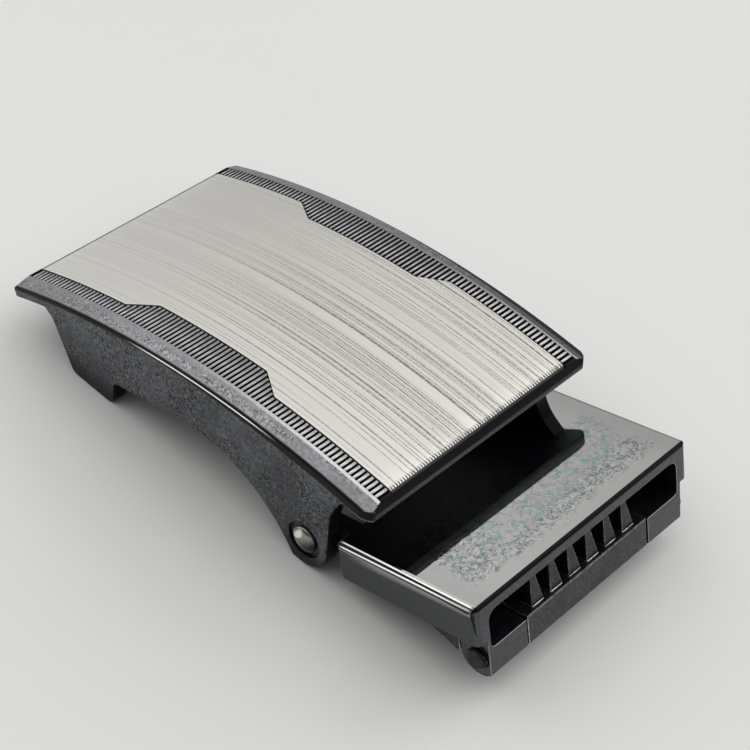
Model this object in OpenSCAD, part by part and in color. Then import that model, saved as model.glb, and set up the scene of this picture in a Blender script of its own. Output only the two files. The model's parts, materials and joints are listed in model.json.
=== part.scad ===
// Ratchet belt buckle: a crowned face plate with ribbed bands and a satin panel, cast
// in one with its two cheeks, and a hinged clamp box that grips the end of the strap.
// +X runs to the mouth of the clamp box, +Z is up, and the table is at z = 0.

/* [Face plate] */
// Width of the plate, across the strap
plate_w = 40; // [39:0.5:46]
// Straight length of the plate, end to end
plate_len = 64.4; // [62:0.2:70]
// Radius of the plate's crown along its length
plate_r = 131.7; // [118:1:160]
// Thickness of the plate
plate_t = 2.1; // [1.9:0.1:2.5]
// Width of the bevel along each side
bevel_w = 2.24; // [1.6:0.1:2.6]
// Drop of the side bevel from crown to rim
bevel_drop = 0.74; // [0.4:0.05:1]
// Rounding of the rim below the side bevel
rim_r = 0.35; // [0.2:0.05:0.45]
// Width of the bevel at each end
end_bevel_w = 0.7; // [0.6:0.05:1.2]
// Drop of the end bevel
end_bevel_drop = 0.9; // [0.6:0.1:1.2]
// Rounding of the two plate corners over the clamp box
corner_r = 2.4; // [1.6:0.1:2.8]

/* [Satin panel] */
// Waist step nearer the tail: distance from the crown where the slope starts
waist_tail = 14.4; // [13:0.1:16]
// Waist step nearer the clamp box: distance from the crown where the slope ends
waist_mouth = 12.4; // [11.8:0.1:14]
// Length of the sloping step between end and waist
waist_slope = 3.8; // [3:0.1:4.6]
// Thickness of the panel
panel_t = 0.9; // [0.6:0.05:1.1]
// Height that the panel stands over the ribs
panel_proud = 0.06; // [0.02:0.01:0.1]
// Gap all round the panel in its recess
panel_gap = 0.05; // [0.03:0.01:0.08]

/* [Ribbed bands] */
// Width of each ribbed band at the two ends of the plate
band_end_w = 2.12; // [1.6:0.02:2.6]
// Width of each ribbed band along the waist of the panel
band_waist_w = 4.62; // [4:0.02:5.2]
// Distance from one rib to the next
rib_pitch = 0.712; // [0.65:0.01:0.9]
// Depth of the grooves between the ribs
rib_h = 0.34; // [0.2:0.02:0.45]
// Depth of the rib tops under the panel's level
rib_drop = 0.06; // [0.03:0.01:0.1]

/* [Stance] */
// Pitch of the plate, tail end down
plate_pitch = 8.3; // [7.5:0.1:9.5]
// Height of the plate's crown over the table
crown_h = 16.05; // [15.8:0.05:17.5]
// Distance from the hinge axis back to the plate's crown
crown_x = 23.05; // [22.4:0.05:23.8]

/* [Cheeks] */
// Thickness of each cheek, which leaves the strap passage between them
cheek_t = 2.08; // [1.9:0.02:2.5]
// Step of the cheek's outer face in from the rim
cheek_inset = 0.02; // [0.02:0.02:0.2]
// Radius of the rounded knuckle about the hinge, and the hinge's height
knuckle_r = 3.95; // [3.8:0.05:4.4]
// Radius of the arch between foot and knuckle
arch_r = 20.1; // [19.6:0.1:22]
// Height of the arch over the table
arch_h = 7.75; // [7:0.05:8.2]
// Distance from the hinge back to the top of the arch
arch_x = 17.35; // [17:0.05:18.4]
// Distance from the hinge back to the front of the foot
foot_front_x = 34.3; // [34:0.1:35]
// Length of the flat under the foot
foot_len = 7.9; // [7:0.1:8.6]
// Height of the small notch in front of the foot
notch_h = 4; // [3.4:0.1:4.4]
// Thickness of the bridge that joins the two feet
bridge_t = 1.4; // [1:0.1:1.5]
// Height of the bridge over the table
bridge_h = 0.3; // [0.2:0.05:0.4]

/* [Hinge rivets] */
// Radius of the rivet shank
rivet_r = 1.2; // [0.9:0.1:1.3]
// Radius of the rivet's round head
rivet_head_r = 1.85; // [1.7:0.05:2]
// Height of the round head
rivet_head_h = 1; // [0.8:0.1:1.2]
// Radius of the recess round the head
recess_r = 2.55; // [2.4:0.05:2.8]
// Depth of the recess
recess_depth = 0.5; // [0.3:0.05:0.7]

/* [Clamp box] */
// Tilt of the box, mouth up
box_tilt = 17.5; // [16.5:0.1:19]
// Step of each side wall in from the edge of the plate
box_inset = 0.25; // [0.1:0.05:0.4]
// Distance from the hinge axis to the mouth face
box_len = 27.1; // [26.8:0.1:32]
// Height of the box top over the hinge axis
box_top_h = 2.2; // [2.15:0.05:2.6]
// Depth of the side walls
wall_depth = 5.55; // [5.3:0.05:5.8]
// Thickness of each side wall
wall_t = 1.5; // [1.2:0.05:1.8]
// Thickness of the box top
top_t = 1.7; // [1.4:0.05:2]
// Distance from the hinge axis to the back of the side walls
wall_back_x = 5.6; // [5.2:0.1:6.2]
// Height of the mouth opening
mouth_h = 5.2; // [5:0.05:5.4]
// Rounding of the mouth opening's upper corners
mouth_r = 1.4; // [0.8:0.1:2]
// Rounding of the box's long top edges
box_edge_r = 0.9; // [0.5:0.05:1.2]
// Thickness of each hinge lug
lug_t = 2.2; // [1.8:0.1:2.6]
// Play between a hinge lug and its cheek
lug_play = 0.3; // [0.2:0.05:0.4]

/* [Toothed flap] */
// Distance from the mouth face back to the flap's pin
flap_back = 1.74; // [1.6:0.02:1.9]
// Depth of the flap's pin under the hinge axis
flap_depth = 6.55; // [6.4:0.05:6.7]
// Radius of the round barrel and of the ears beside it
barrel_r = 2.6; // [2.5:0.05:2.7]
// Thickness of each ear beside the barrel
ear_t = 6.55; // [6:0.05:7.2]
// Play between the barrel and each ear
barrel_play = 0.3; // [0.2:0.05:0.4]
// Step of each ear's outer face in from the side wall
ear_inset = 1.7; // [1.2:0.05:2]
// Radius of the flap's pin
pin_r = 0.9; // [0.7:0.05:1]
// Radius of the pin's two heads
pin_head_r = 1.5; // [1.3:0.1:1.7]
// Height of each pin head
pin_head_h = 0.7; // [0.5:0.1:1]
// Step of the flap's front face behind the mouth face
lip_step = 0.05; // [0:0.05:0.3]
// Height of the flat ledge at the foot of the teeth over the pin's axis
ledge_h = 2.05; // [1.9:0.05:2.3]
// Thickness of the flap plate
flap_t = 1.2; // [1:0.1:1.4]
// Number of teeth
tooth_count = 6; // [4:1:7]
// Distance from the end of the barrel to the middle of the last tooth
tooth_margin = 2.7; // [2.4:0.1:3.2]
// Height of the teeth over the pin's axis
tooth_h = 5.8; // [4.8:0.1:5.9]
// Width of a tooth at its root
tooth_w = 2.4; // [2:0.1:2.6]
// Width of a tooth at its tip
tooth_tip_w = 0.9; // [0.6:0.1:1.2]

/* [Pawl] */
// Distance from the hinge axis back to the pawl's pin
pawl_x = 39.5; // [39.2:0.1:39.8]
// Height of the pawl's pin over the table
pawl_h = 4.2; // [4.1:0.05:4.3]
// Width of the pawl lever
pawl_w = 26; // [20:0.5:32]
// Reach of the finger tab behind the pawl's pin
pawl_tab = 6.9; // [6.4:0.1:7.2]
// Reach of the pawl's nose in front of its pin
pawl_nose = 4.3; // [3.9:0.1:4.6]
// Radius of the pawl's hub
pawl_hub_r = 1.9; // [1.7:0.05:2.1]
// Radius of the pawl's pin
pawl_pin_r = 0.8; // [0.6:0.05:0.9]

/* [Fits] */
// Radial clearance of a turning fit
fit = 0.05; // [0.03:0.01:0.08]
// Gap between pieces that are seated on each other
seat = 0.04; // [0.02:0.01:0.06]

/* [Hidden] */
$fn = 48;

gunmetal = [0.29, 0.30, 0.32];
satin = [0.84, 0.82, 0.79];
steel = [0.62, 0.63, 0.62];
black_steel = [0.18, 0.18, 0.20];

over = 1;            // how far a cutter reaches past the face it cuts
hinge_h = knuckle_r; // the knuckle stands on the table
half_angle = asin(plate_len / 2 / plate_r);
arc_x = -crown_x + plate_r * sin(plate_pitch);
arc_z = crown_h - plate_r * cos(plate_pitch);
rib_out_y = plate_w / 2 - bevel_w;
panel_end_y = rib_out_y - band_end_w;
panel_waist_y = rib_out_y - band_waist_w;
cheek_y = plate_w / 2 - cheek_inset;
inner_y = cheek_y - cheek_t;
arch_z = arch_h - arch_r;
box_w = plate_w - 2 * box_inset;
flap_x = box_len - flap_back;
ear_out = box_w / 2 - ear_inset;
ear_in = ear_out - ear_t;
barrel_half = ear_in - barrel_play;
tooth_pitch = 2 * (barrel_half - tooth_margin) / (tooth_count - 1);
wall_in = box_w / 2 - wall_t;
under_top = box_top_h - top_t;
mouth_floor = under_top - mouth_h;
wall_foot = box_top_h - wall_depth;
mouth_half = min(wall_in, ear_out) - 0.5;
lug_y = inner_y - lug_play;
lug_r = box_top_h;

// Ends of the whole part along X, for centring it
tail_end_x = arc_x - (plate_r - end_bevel_drop) * sin(half_angle + plate_pitch);
ear_drop = sqrt(pow(barrel_r, 2) - pow(box_len - flap_x, 2));
mouth_end_x = box_len * cos(box_tilt) + (flap_depth + ear_drop) * sin(box_tilt);
middle_x = (tail_end_x + mouth_end_x) / 2;

// Height of a circle of radius r about the plate's centre of curvature, at x
function shell_z(x, r) = arc_z + sqrt(pow(r, 2) - pow(x - arc_x, 2));

function unit(v) = v / norm(v);
// Points that round the corner q = [x, z, radius] between its neighbours p and s
function corner(p, q, s, steps = 6) =
    let (at = [q.x, q.y],
         a = unit([p.x - q.x, p.y - q.y]),
         b = unit([s.x - q.x, s.y - q.y]),
         half = acos(a * b) / 2,
         start = at + a * q[2] / tan(half),
         stop = at + b * q[2] / tan(half),
         centre = at + unit(a + b) * q[2] / sin(half),
         from = atan2(start.y - centre.y, start.x - centre.x),
         to = atan2(stop.y - centre.y, stop.x - centre.x),
         sweep = (to - from + 540) % 360 - 180)
    q[2] == 0 ? [at]
              : [for (i = [0:steps]) centre + q[2] * [cos(from + sweep * i / steps),
                                                      sin(from + sweep * i / steps)]];
// Outline with every corner [x, z, radius] rounded
function rounded(pts, steps = 6) =
    [for (i = [0:len(pts) - 1],
          v = corner(pts[(i + len(pts) - 1) % len(pts)], pts[i], pts[(i + 1) % len(pts)], steps)) v];

// Extrudes a side-view outline (x, z) from y0 to y1
module across(y0, y1) {
    translate([0, y1, 0]) rotate([90, 0, 0]) linear_extrude(y1 - y0) children();
}

module both_sides() {
    children();
    mirror([0, 1, 0]) children();
}

module both_ends() {
    children();
    mirror([1, 0, 0]) children();
}

// Moves the finished part so that it is centred on the origin along X
module centred() {
    translate([-middle_x, 0, 0]) children();
}

// The plate's own frame: origin on the crown, pitched tail down
module on_plate() {
    translate([-crown_x, 0, crown_h]) rotate([0, -plate_pitch, 0]) children();
}

// The clamp box's own frame: origin on the hinge axis, tilted mouth up
module on_box() {
    translate([0, 0, hinge_h]) rotate([0, -box_tilt, 0]) children();
}

// Sweeps a section (radius, y) along the plate's crown, from end to end
module along_crown(half = half_angle) {
    translate([0, 0, -plate_r]) rotate([90, 0, 0]) rotate([0, 0, 90 - half])
        rotate_extrude(angle = 2 * half, $fn = 180) children();
}

// The plan of the satin panel, grown by a gap
function panel_plan(g) =
    let (end_x = plate_len / 2 - end_bevel_w + g, y1 = panel_end_y + g, y2 = panel_waist_y + g,
         near = [[-end_x, -y1], [-waist_tail, -y1], [-waist_tail + waist_slope, -y2],
                 [waist_mouth - waist_slope, -y2], [waist_mouth, -y1], [end_x, -y1]])
    concat(near, [for (i = [len(near) - 1:-1:0]) [near[i].x, -near[i].y]]);

// One long comb of grooves, in side view over the crown, cut by the rib pitch
module groove_comb() {
    step = rib_pitch / plate_r * 180 / PI;
    count = floor(2 * (half_angle - end_bevel_w / plate_r * 180 / PI) / step);
    tip = plate_r - rib_drop;
    root = plate_r - rib_drop - rib_h;
    shape = [[-0.5, tip], [-0.32, tip], [-0.12, root], [0.12, root], [0.32, tip]];
    teeth = [for (i = [0:count - 1], s = shape)
             let (a = (i - (count - 1) / 2 + s.x) * step) s.y * [sin(a), cos(a)]];
    last = (count / 2) * step;
    lid = [for (k = [6:-1:-6]) (plate_r + over) * [sin(last * k / 6), cos(last * k / 6)]];
    translate([0, -plate_r]) polygon(concat(teeth, lid));
}

module plate_body() {
    half_w = plate_w / 2;
    section = rounded([[plate_r - plate_t, -half_w, 0], [plate_r - bevel_drop, -half_w, rim_r],
                       [plate_r, -half_w + bevel_w, 0], [plate_r, half_w - bevel_w, 0],
                       [plate_r - bevel_drop, half_w, rim_r], [plate_r - plate_t, half_w, 0]], 4);
    end_cut = [[-end_bevel_w, 0], [over, -end_bevel_drop * (1 + over / end_bevel_w)],
               [over, over], [-end_bevel_w, over]];
    corner_x = plate_len / 2 - corner_r;
    corner_y = half_w - corner_r;
    corner_cut = concat([[corner_x, corner_y] + corner_r * [cos(75), sin(75)] + 5 * [-sin(75), cos(75)]],
                        [for (a = [75:-7.5:0]) [corner_x, corner_y] + corner_r * [cos(a), sin(a)]],
                        [[corner_x + corner_r, corner_y - over],
                         [corner_x + corner_r + over, corner_y - over],
                         [corner_x + corner_r + over, half_w + 2 * over]]);
    difference() {
        along_crown() polygon(section);
        both_ends() translate([0, 0, -plate_r]) rotate([0, half_angle, 0])
            translate([0, 0, plate_r]) across(-half_w - over, half_w + over) polygon(end_cut);
        both_sides() translate([0, 0, -2 * plate_t - plate_len / 8])
            linear_extrude(4 * plate_t + plate_len / 4) polygon(corner_cut);
    }
}

// The recess for the satin panel and the grooves beside it
module plate_cuts() {
    intersection() {
        along_crown() polygon([[plate_r - panel_t, -panel_end_y - over],
                               [plate_r + over, -panel_end_y - over],
                               [plate_r + over, panel_end_y + over],
                               [plate_r - panel_t, panel_end_y + over]]);
        translate([0, 0, -plate_len / 8]) linear_extrude(plate_len / 4) polygon(panel_plan(panel_gap));
    }
    both_sides() across(panel_waist_y - panel_t / 4, rib_out_y - 0.02) groove_comb();
}

// Side view of one cheek, from foot to knuckle
module cheek_outline() {
    sunk = plate_t * 0.6;
    right = knuckle_r - 0.6;
    top_from = right + 2.2;
    joint_x = -arch_x - arch_r * 0.2;
    joint_z = arch_z + sqrt(pow(arch_r, 2) - pow(joint_x + arch_x, 2)) - 0.2;
    foot_back = -foot_front_x - foot_len;
    tail_x = foot_back - 6.6;
    edge = rounded([[tail_x, shell_z(tail_x, plate_r - sunk), 0],
                    [foot_back - 4.1, 6.5, 1.2],
                    [foot_back, 0, 1.5],
                    [-foot_front_x, 0, 1.2],
                    [-foot_front_x, notch_h, 0.9],
                    [joint_x, joint_z, 0],
                    [joint_x, 0, 0],
                    [knuckle_r, 0, knuckle_r - 0.01],
                    [right, shell_z(right, plate_r - plate_t) - 3.3, 8],
                    [top_from, shell_z(top_from, plate_r - sunk), 0]], 10);
    top = [for (k = [1:11]) let (x = top_from + (tail_x - top_from) * k / 12)
           [x, shell_z(x, plate_r - sunk)]];
    difference() {
        polygon(concat(edge, top));
        translate([-arch_x, arch_z]) circle(arch_r, $fn = 120);
    }
}

// The bridge that joins the two feet under the strap
module bridge() {
    x0 = -foot_front_x - foot_len + 2.2;
    across(-inner_y - cheek_inset, inner_y + cheek_inset)
        polygon(rounded([[x0, bridge_h, 0.3], [-foot_front_x - 0.5, bridge_h, 0.3],
                         [-foot_front_x - 0.5, bridge_h + bridge_t, 0.3],
                         [x0, bridge_h + bridge_t, 0.3]], 3));
}

// The casting: plate, ribbed bands, cheeks, feet and knuckles
module face_frame() {
    recess_y = cheek_y - recess_depth;
    color(gunmetal) centred() difference() {
        union() {
            on_plate() plate_body();
            both_sides() across(inner_y, cheek_y) cheek_outline();
            bridge();
        }
        on_plate() plate_cuts();
        translate([0, 0, hinge_h]) rotate([90, 0, 0])
            cylinder(h = plate_w + over, r = rivet_r + fit, center = true);
        both_sides() translate([0, recess_y, hinge_h]) rotate([-90, 0, 0])
            cylinder(h = recess_depth + over, r = recess_r);
        translate([-pawl_x, cheek_y + over, pawl_h]) rotate([90, 0, 0])
            cylinder(h = 2 * cheek_y + over - cheek_t / 2, r = pawl_pin_r + fit);
    }
}

// The satin panel, seated in its recess
module satin_panel() {
    edge_cut = [[-0.5, panel_proud + 0.02], [0.3, -0.5], [0.3, over], [-0.5, over]];
    end_x = plate_len / 2 - end_bevel_w;
    color(satin) centred() on_plate() difference() {
        intersection() {
            along_crown() polygon([[plate_r - panel_t + seat, -panel_end_y - over],
                                   [plate_r + panel_proud, -panel_end_y - over],
                                   [plate_r + panel_proud, panel_end_y + over],
                                   [plate_r - panel_t + seat, panel_end_y + over]]);
            translate([0, 0, -plate_len / 8]) linear_extrude(plate_len / 4) polygon(panel_plan(0));
        }
        both_ends() translate([0, 0, -plate_r]) rotate([0, asin(end_x / plate_r), 0])
            translate([0, 0, plate_r]) across(-plate_w / 2, plate_w / 2) polygon(edge_cut);
    }
}

// One rivet: a domed head in the cheek's recess, a shank, and a flat tail inside the lug
module hinge_rivet() {
    seat_y = cheek_y - recess_depth + seat;
    tail_y = lug_y - lug_t - seat;
    dome_r = (pow(rivet_head_r, 2) + pow(rivet_head_h * 0.6, 2)) / (2 * rivet_head_h * 0.6);
    translate([0, 0, hinge_h]) rotate([-90, 0, 0]) {
        translate([0, 0, tail_y - 0.7]) cylinder(h = 0.7, r = rivet_r * 1.5);
        translate([0, 0, tail_y - 0.1]) cylinder(h = seat_y - tail_y + 0.2, r = rivet_r);
        intersection() {
            translate([0, 0, seat_y]) cylinder(h = rivet_head_h, r = rivet_head_r);
            translate([0, 0, seat_y + rivet_head_h - dome_r]) sphere(dome_r, $fn = 96);
        }
    }
}

module hinge_rivet_near() {
    color(steel) centred() mirror([0, 1, 0]) hinge_rivet();
}

module hinge_rivet_far() {
    color(steel) centred() hinge_rivet();
}

// Cross-section of the box's shell, in (y, z), with its long edges rounded
module box_section() {
    half = box_w / 2;
    polygon(rounded([[-half, wall_foot, 0.4], [half, wall_foot, 0.4],
                     [half, box_top_h, box_edge_r], [-half, box_top_h, box_edge_r]]));
}

// Extrudes a (y, z) section from x0 to x1
module lengthwise(x0, x1) {
    translate([x0, 0, 0]) rotate([90, 0, 90]) linear_extrude(x1 - x0) children();
}

// Side view of one ear beside the flap's barrel, with its web up to the side wall
module ear_outline() {
    difference() {
        union() {
            intersection() {
                translate([flap_x, -flap_depth]) circle(barrel_r);
                translate([0, -2 * flap_depth]) square([box_len, 2 * flap_depth + box_top_h]);
            }
            polygon([[flap_x - barrel_r, -flap_depth], [box_len, -flap_depth],
                     [box_len, under_top], [flap_x - barrel_r, under_top]]);
        }
        translate([flap_x, -flap_depth]) circle(pin_r + fit);
    }
}

// The clamp box: top, side walls, back wall, hinge lugs and the two ears at the mouth
module clamp_box() {
    back_x = wall_back_x - 0.4;
    side = rounded([[wall_back_x, wall_foot, 1.2], [box_len, wall_foot, 0.2],
                    [box_len, box_top_h, 0.45], [wall_back_x, box_top_h, 0.6]]);
    plan = rounded([[wall_back_x, -box_w / 2, 0.5], [box_len, -box_w / 2, 1],
                    [box_len, box_w / 2, 1], [wall_back_x, box_w / 2, 0.5]]);
    mouth = rounded([[-mouth_half, mouth_floor, 0.8], [mouth_half, mouth_floor, 0.8],
                     [mouth_half, under_top, mouth_r], [-mouth_half, under_top, mouth_r]]);
    lug = rounded([[-lug_r, -lug_r, lug_r * 0.9], [wall_back_x + 1, -lug_r + 0.3, 0],
                   [wall_back_x + 1, box_top_h, 0], [-lug_r, box_top_h, lug_r * 0.9]], 10);
    color(gunmetal) centred() on_box() difference() {
        union() {
            intersection() {
                lengthwise(wall_back_x, box_len) box_section();
                across(-box_w, box_w) polygon(side);
                translate([0, 0, -box_w / 2]) linear_extrude(box_w) polygon(plan);
            }
            both_sides() across(lug_y - lug_t, lug_y) polygon(lug);
            both_sides() across(ear_in, ear_out) ear_outline();
        }
        lengthwise(wall_back_x + 1.5, box_len + over) polygon(mouth);
        translate([wall_back_x + 1.5, -wall_in, wall_foot - over])
            cube([flap_x - barrel_r - wall_back_x - 1.5, 2 * wall_in, under_top - wall_foot + over]);
        translate([flap_x - barrel_r - over, -ear_in, wall_foot - over])
            cube([box_len, 2 * ear_in, under_top - wall_foot]);
        rotate([90, 0, 0]) cylinder(h = box_w, r = rivet_r + fit, center = true);
        translate([flap_x, 0, -flap_depth]) rotate([90, 0, 0])
            cylinder(h = box_w, r = pin_r + fit, center = true);
    }
}

// One tooth: a narrow wedge that leans to the mouth
module tooth() {
    root = 1.2;
    front = [[-1.1, root], [1.15, root], [0.5, tooth_h], [0.15, tooth_h]];
    face = [[-tooth_w / 2, root], [tooth_w / 2, root],
            [tooth_tip_w / 2, tooth_h], [-tooth_tip_w / 2, tooth_h]];
    intersection() {
        across(-tooth_w, tooth_w) polygon(front);
        lengthwise(-barrel_r, barrel_r) polygon(face);
    }
}

// The toothed flap: a barrel with teeth at the mouth, and a plate that closes the box
module toothed_flap() {
    front = box_len - flap_x - lip_step;
    plate_half = wall_in - 0.3;
    back = wall_back_x + 2.2 - flap_x;
    top_at = flap_depth + under_top - 4.1;
    plate = rounded([[-barrel_r - 0.35, top_at, 0], [back, top_at + 1.3, 0.3],
                     [back, top_at + 1.3 - flap_t, 0.3], [back / 2, top_at - flap_t, 0],
                     [-barrel_r - 0.35, -0.9, 0.4]], 3);
    neck = [[-barrel_r - 0.6, top_at - 0.02], [0, barrel_r * 0.7], [0, -barrel_r * 0.3],
            [-barrel_r - 0.6, -0.7]];
    color(black_steel) centred() on_box() translate([flap_x, 0, -flap_depth]) difference() {
        union() {
            across(-barrel_half, barrel_half) intersection() {
                circle(barrel_r);
                translate([-2 * barrel_r, -2 * barrel_r])
                    square([2 * barrel_r + front, 2 * barrel_r + ledge_h]);
            }
            across(-plate_half, plate_half) polygon(plate);
            across(-barrel_half, barrel_half) polygon(neck);
            for (i = [0:tooth_count - 1])
                translate([0, (i - (tooth_count - 1) / 2) * tooth_pitch, 0]) tooth();
        }
        rotate([90, 0, 0]) cylinder(h = box_w, r = pin_r + fit, center = true);
    }
}

// The flap's pin, with a head outside each ear
module flap_pin() {
    color(steel) centred() on_box() translate([flap_x, 0, -flap_depth]) {
        rotate([90, 0, 0]) cylinder(h = 2 * ear_out + 0.4, r = pin_r, center = true);
        both_sides() translate([0, ear_out + seat, 0]) rotate([-90, 0, 0]) {
            cylinder(h = pin_head_h * 0.6, r = pin_head_r);
            translate([0, 0, pin_head_h * 0.6 - 0.01])
                cylinder(h = pin_head_h * 0.4, r1 = pin_head_r, r2 = pin_head_r * 0.7);
        }
    }
}

// The pawl lever: a toothed nose under the strap and a finger tab at the tail
module pawl_lever() {
    hub = pawl_hub_r;
    tab = rounded([[-pawl_tab, -hub, 0.4], [-pawl_tab * 0.81, -hub, 0.3],
                   [-pawl_tab * 0.64, -hub * 0.21, 0.8], [0, -hub, 0],
                   [pawl_nose, -hub * 0.68, 0.3], [pawl_nose, hub * 1.05, 0.1],
                   [pawl_nose / 2, hub * 0.47, 0.3], [0, hub, 0],
                   [-pawl_tab * 0.78, hub * 0.47, 0.8], [-pawl_tab, -hub * 0.1, 0.4]], 3);
    color(black_steel) centred() translate([-pawl_x, 0, pawl_h]) difference() {
        union() {
            across(-pawl_w / 2, pawl_w / 2) polygon(tab);
            rotate([90, 0, 0]) cylinder(h = pawl_w, r = hub, center = true);
        }
        rotate([90, 0, 0]) cylinder(h = box_w, r = pawl_pin_r + fit, center = true);
    }
}

// The pawl's pin, set into both cheeks
module pawl_pin() {
    near_y = -cheek_y + cheek_t / 2 + seat;
    color(steel) centred() translate([-pawl_x, cheek_y - 0.1, pawl_h]) rotate([90, 0, 0])
        cylinder(h = cheek_y - 0.1 - near_y, r = pawl_pin_r);
}

face_frame();
satin_panel();
hinge_rivet_near();
hinge_rivet_far();
clamp_box();
toothed_flap();
flap_pin();
pawl_lever();
pawl_pin();
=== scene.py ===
"""Looks of a ratchet belt buckle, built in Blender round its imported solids.

The classes below stand for the buckle's own sub-assemblies. Their fields are millimetres
and degrees in the model's frame: +X runs to the mouth of the clamp box, +Z is up and the
table is at zero. Finishes are small frozen dataclasses that build one material each.
"""

from __future__ import annotations

import json
import logging
import math
from dataclasses import dataclass
from enum import Enum
from typing import Any, Callable, Sequence

import bmesh
import bpy
from mathutils import Matrix, Vector

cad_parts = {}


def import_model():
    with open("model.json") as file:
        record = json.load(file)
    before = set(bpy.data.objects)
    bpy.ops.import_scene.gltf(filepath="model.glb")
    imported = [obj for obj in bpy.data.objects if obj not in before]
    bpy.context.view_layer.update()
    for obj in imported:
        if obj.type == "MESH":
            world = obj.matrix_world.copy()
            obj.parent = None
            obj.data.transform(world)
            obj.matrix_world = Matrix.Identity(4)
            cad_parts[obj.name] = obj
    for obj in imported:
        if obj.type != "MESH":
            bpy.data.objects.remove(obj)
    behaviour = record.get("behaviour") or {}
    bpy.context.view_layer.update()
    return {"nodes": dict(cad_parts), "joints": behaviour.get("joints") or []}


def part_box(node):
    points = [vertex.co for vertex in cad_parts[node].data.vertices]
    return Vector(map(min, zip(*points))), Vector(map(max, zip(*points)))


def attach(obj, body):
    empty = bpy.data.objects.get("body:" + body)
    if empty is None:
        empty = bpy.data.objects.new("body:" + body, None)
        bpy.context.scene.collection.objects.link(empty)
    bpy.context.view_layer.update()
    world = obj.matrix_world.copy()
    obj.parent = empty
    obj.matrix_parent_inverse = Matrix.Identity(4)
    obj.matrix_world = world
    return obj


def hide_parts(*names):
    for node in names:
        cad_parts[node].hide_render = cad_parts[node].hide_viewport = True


LOG = logging.getLogger("buckle")
MM = 0.001
ALONG = (1.0, 0.0, 0.0)
ACROSS = (0.0, 1.0, 0.0)
UP = (0.0, 0.0, 1.0)
NODES_PER_COLUMN = 6
NODE_WIDTH = 180
NODE_HEIGHT = 160
SIDE_FADE = 5.0
WELD_MM = 0.0015
FLAT_DEG = 0.25
SHARP_DEG = 38.0
EVEN_WEIGHT = 60
BOX_TILT_DEG = 17.5

Colour = tuple[float, float, float]
Pieces = list[tuple[bpy.types.Object, str]]


class Side(Enum):
    """The two long sides of the buckle, as the sign of Y."""

    NEAR = -1
    FAR = 1


class Zone(Enum):
    """Regions of the castings that are finished differently."""

    CAST = "cast"
    BEVEL = "bevel"
    RIB = "rib"
    RECESS = "recess"
    END = "end"
    TOP = "top"
    EDGE = "edge"
    WALL = "wall"
    MOUTH = "mouth"
    HIDDEN = "hidden"
    GLEAM = "gleam"
    TAIL = "tail"


# Node graph helpers


class Signal:
    """An output of a node, with arithmetic that adds nodes to its graph."""

    def __init__(self, graph: ShaderGraph, socket: bpy.types.NodeSocket) -> None:
        """Keeps the graph and the output socket."""
        self.graph = graph
        self.socket = socket

    def __add__(self, other: Any) -> Signal:
        """Adds a number or a signal."""
        return self.graph.math("ADD", self, other)

    def __sub__(self, other: Any) -> Signal:
        """Takes a number or a signal away."""
        return self.graph.math("SUBTRACT", self, other)

    def __rsub__(self, other: Any) -> Signal:
        """Takes this signal away from a number."""
        return self.graph.math("SUBTRACT", other, self)

    def __mul__(self, other: Any) -> Signal:
        """Multiplies by a number or a signal."""
        return self.graph.math("MULTIPLY", self, other)

    def __truediv__(self, other: Any) -> Signal:
        """Divides by a number or a signal."""
        return self.graph.math("DIVIDE", self, other)

    def __abs__(self) -> Signal:
        """Drops the sign."""
        return self.graph.math("ABSOLUTE", self)


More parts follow.
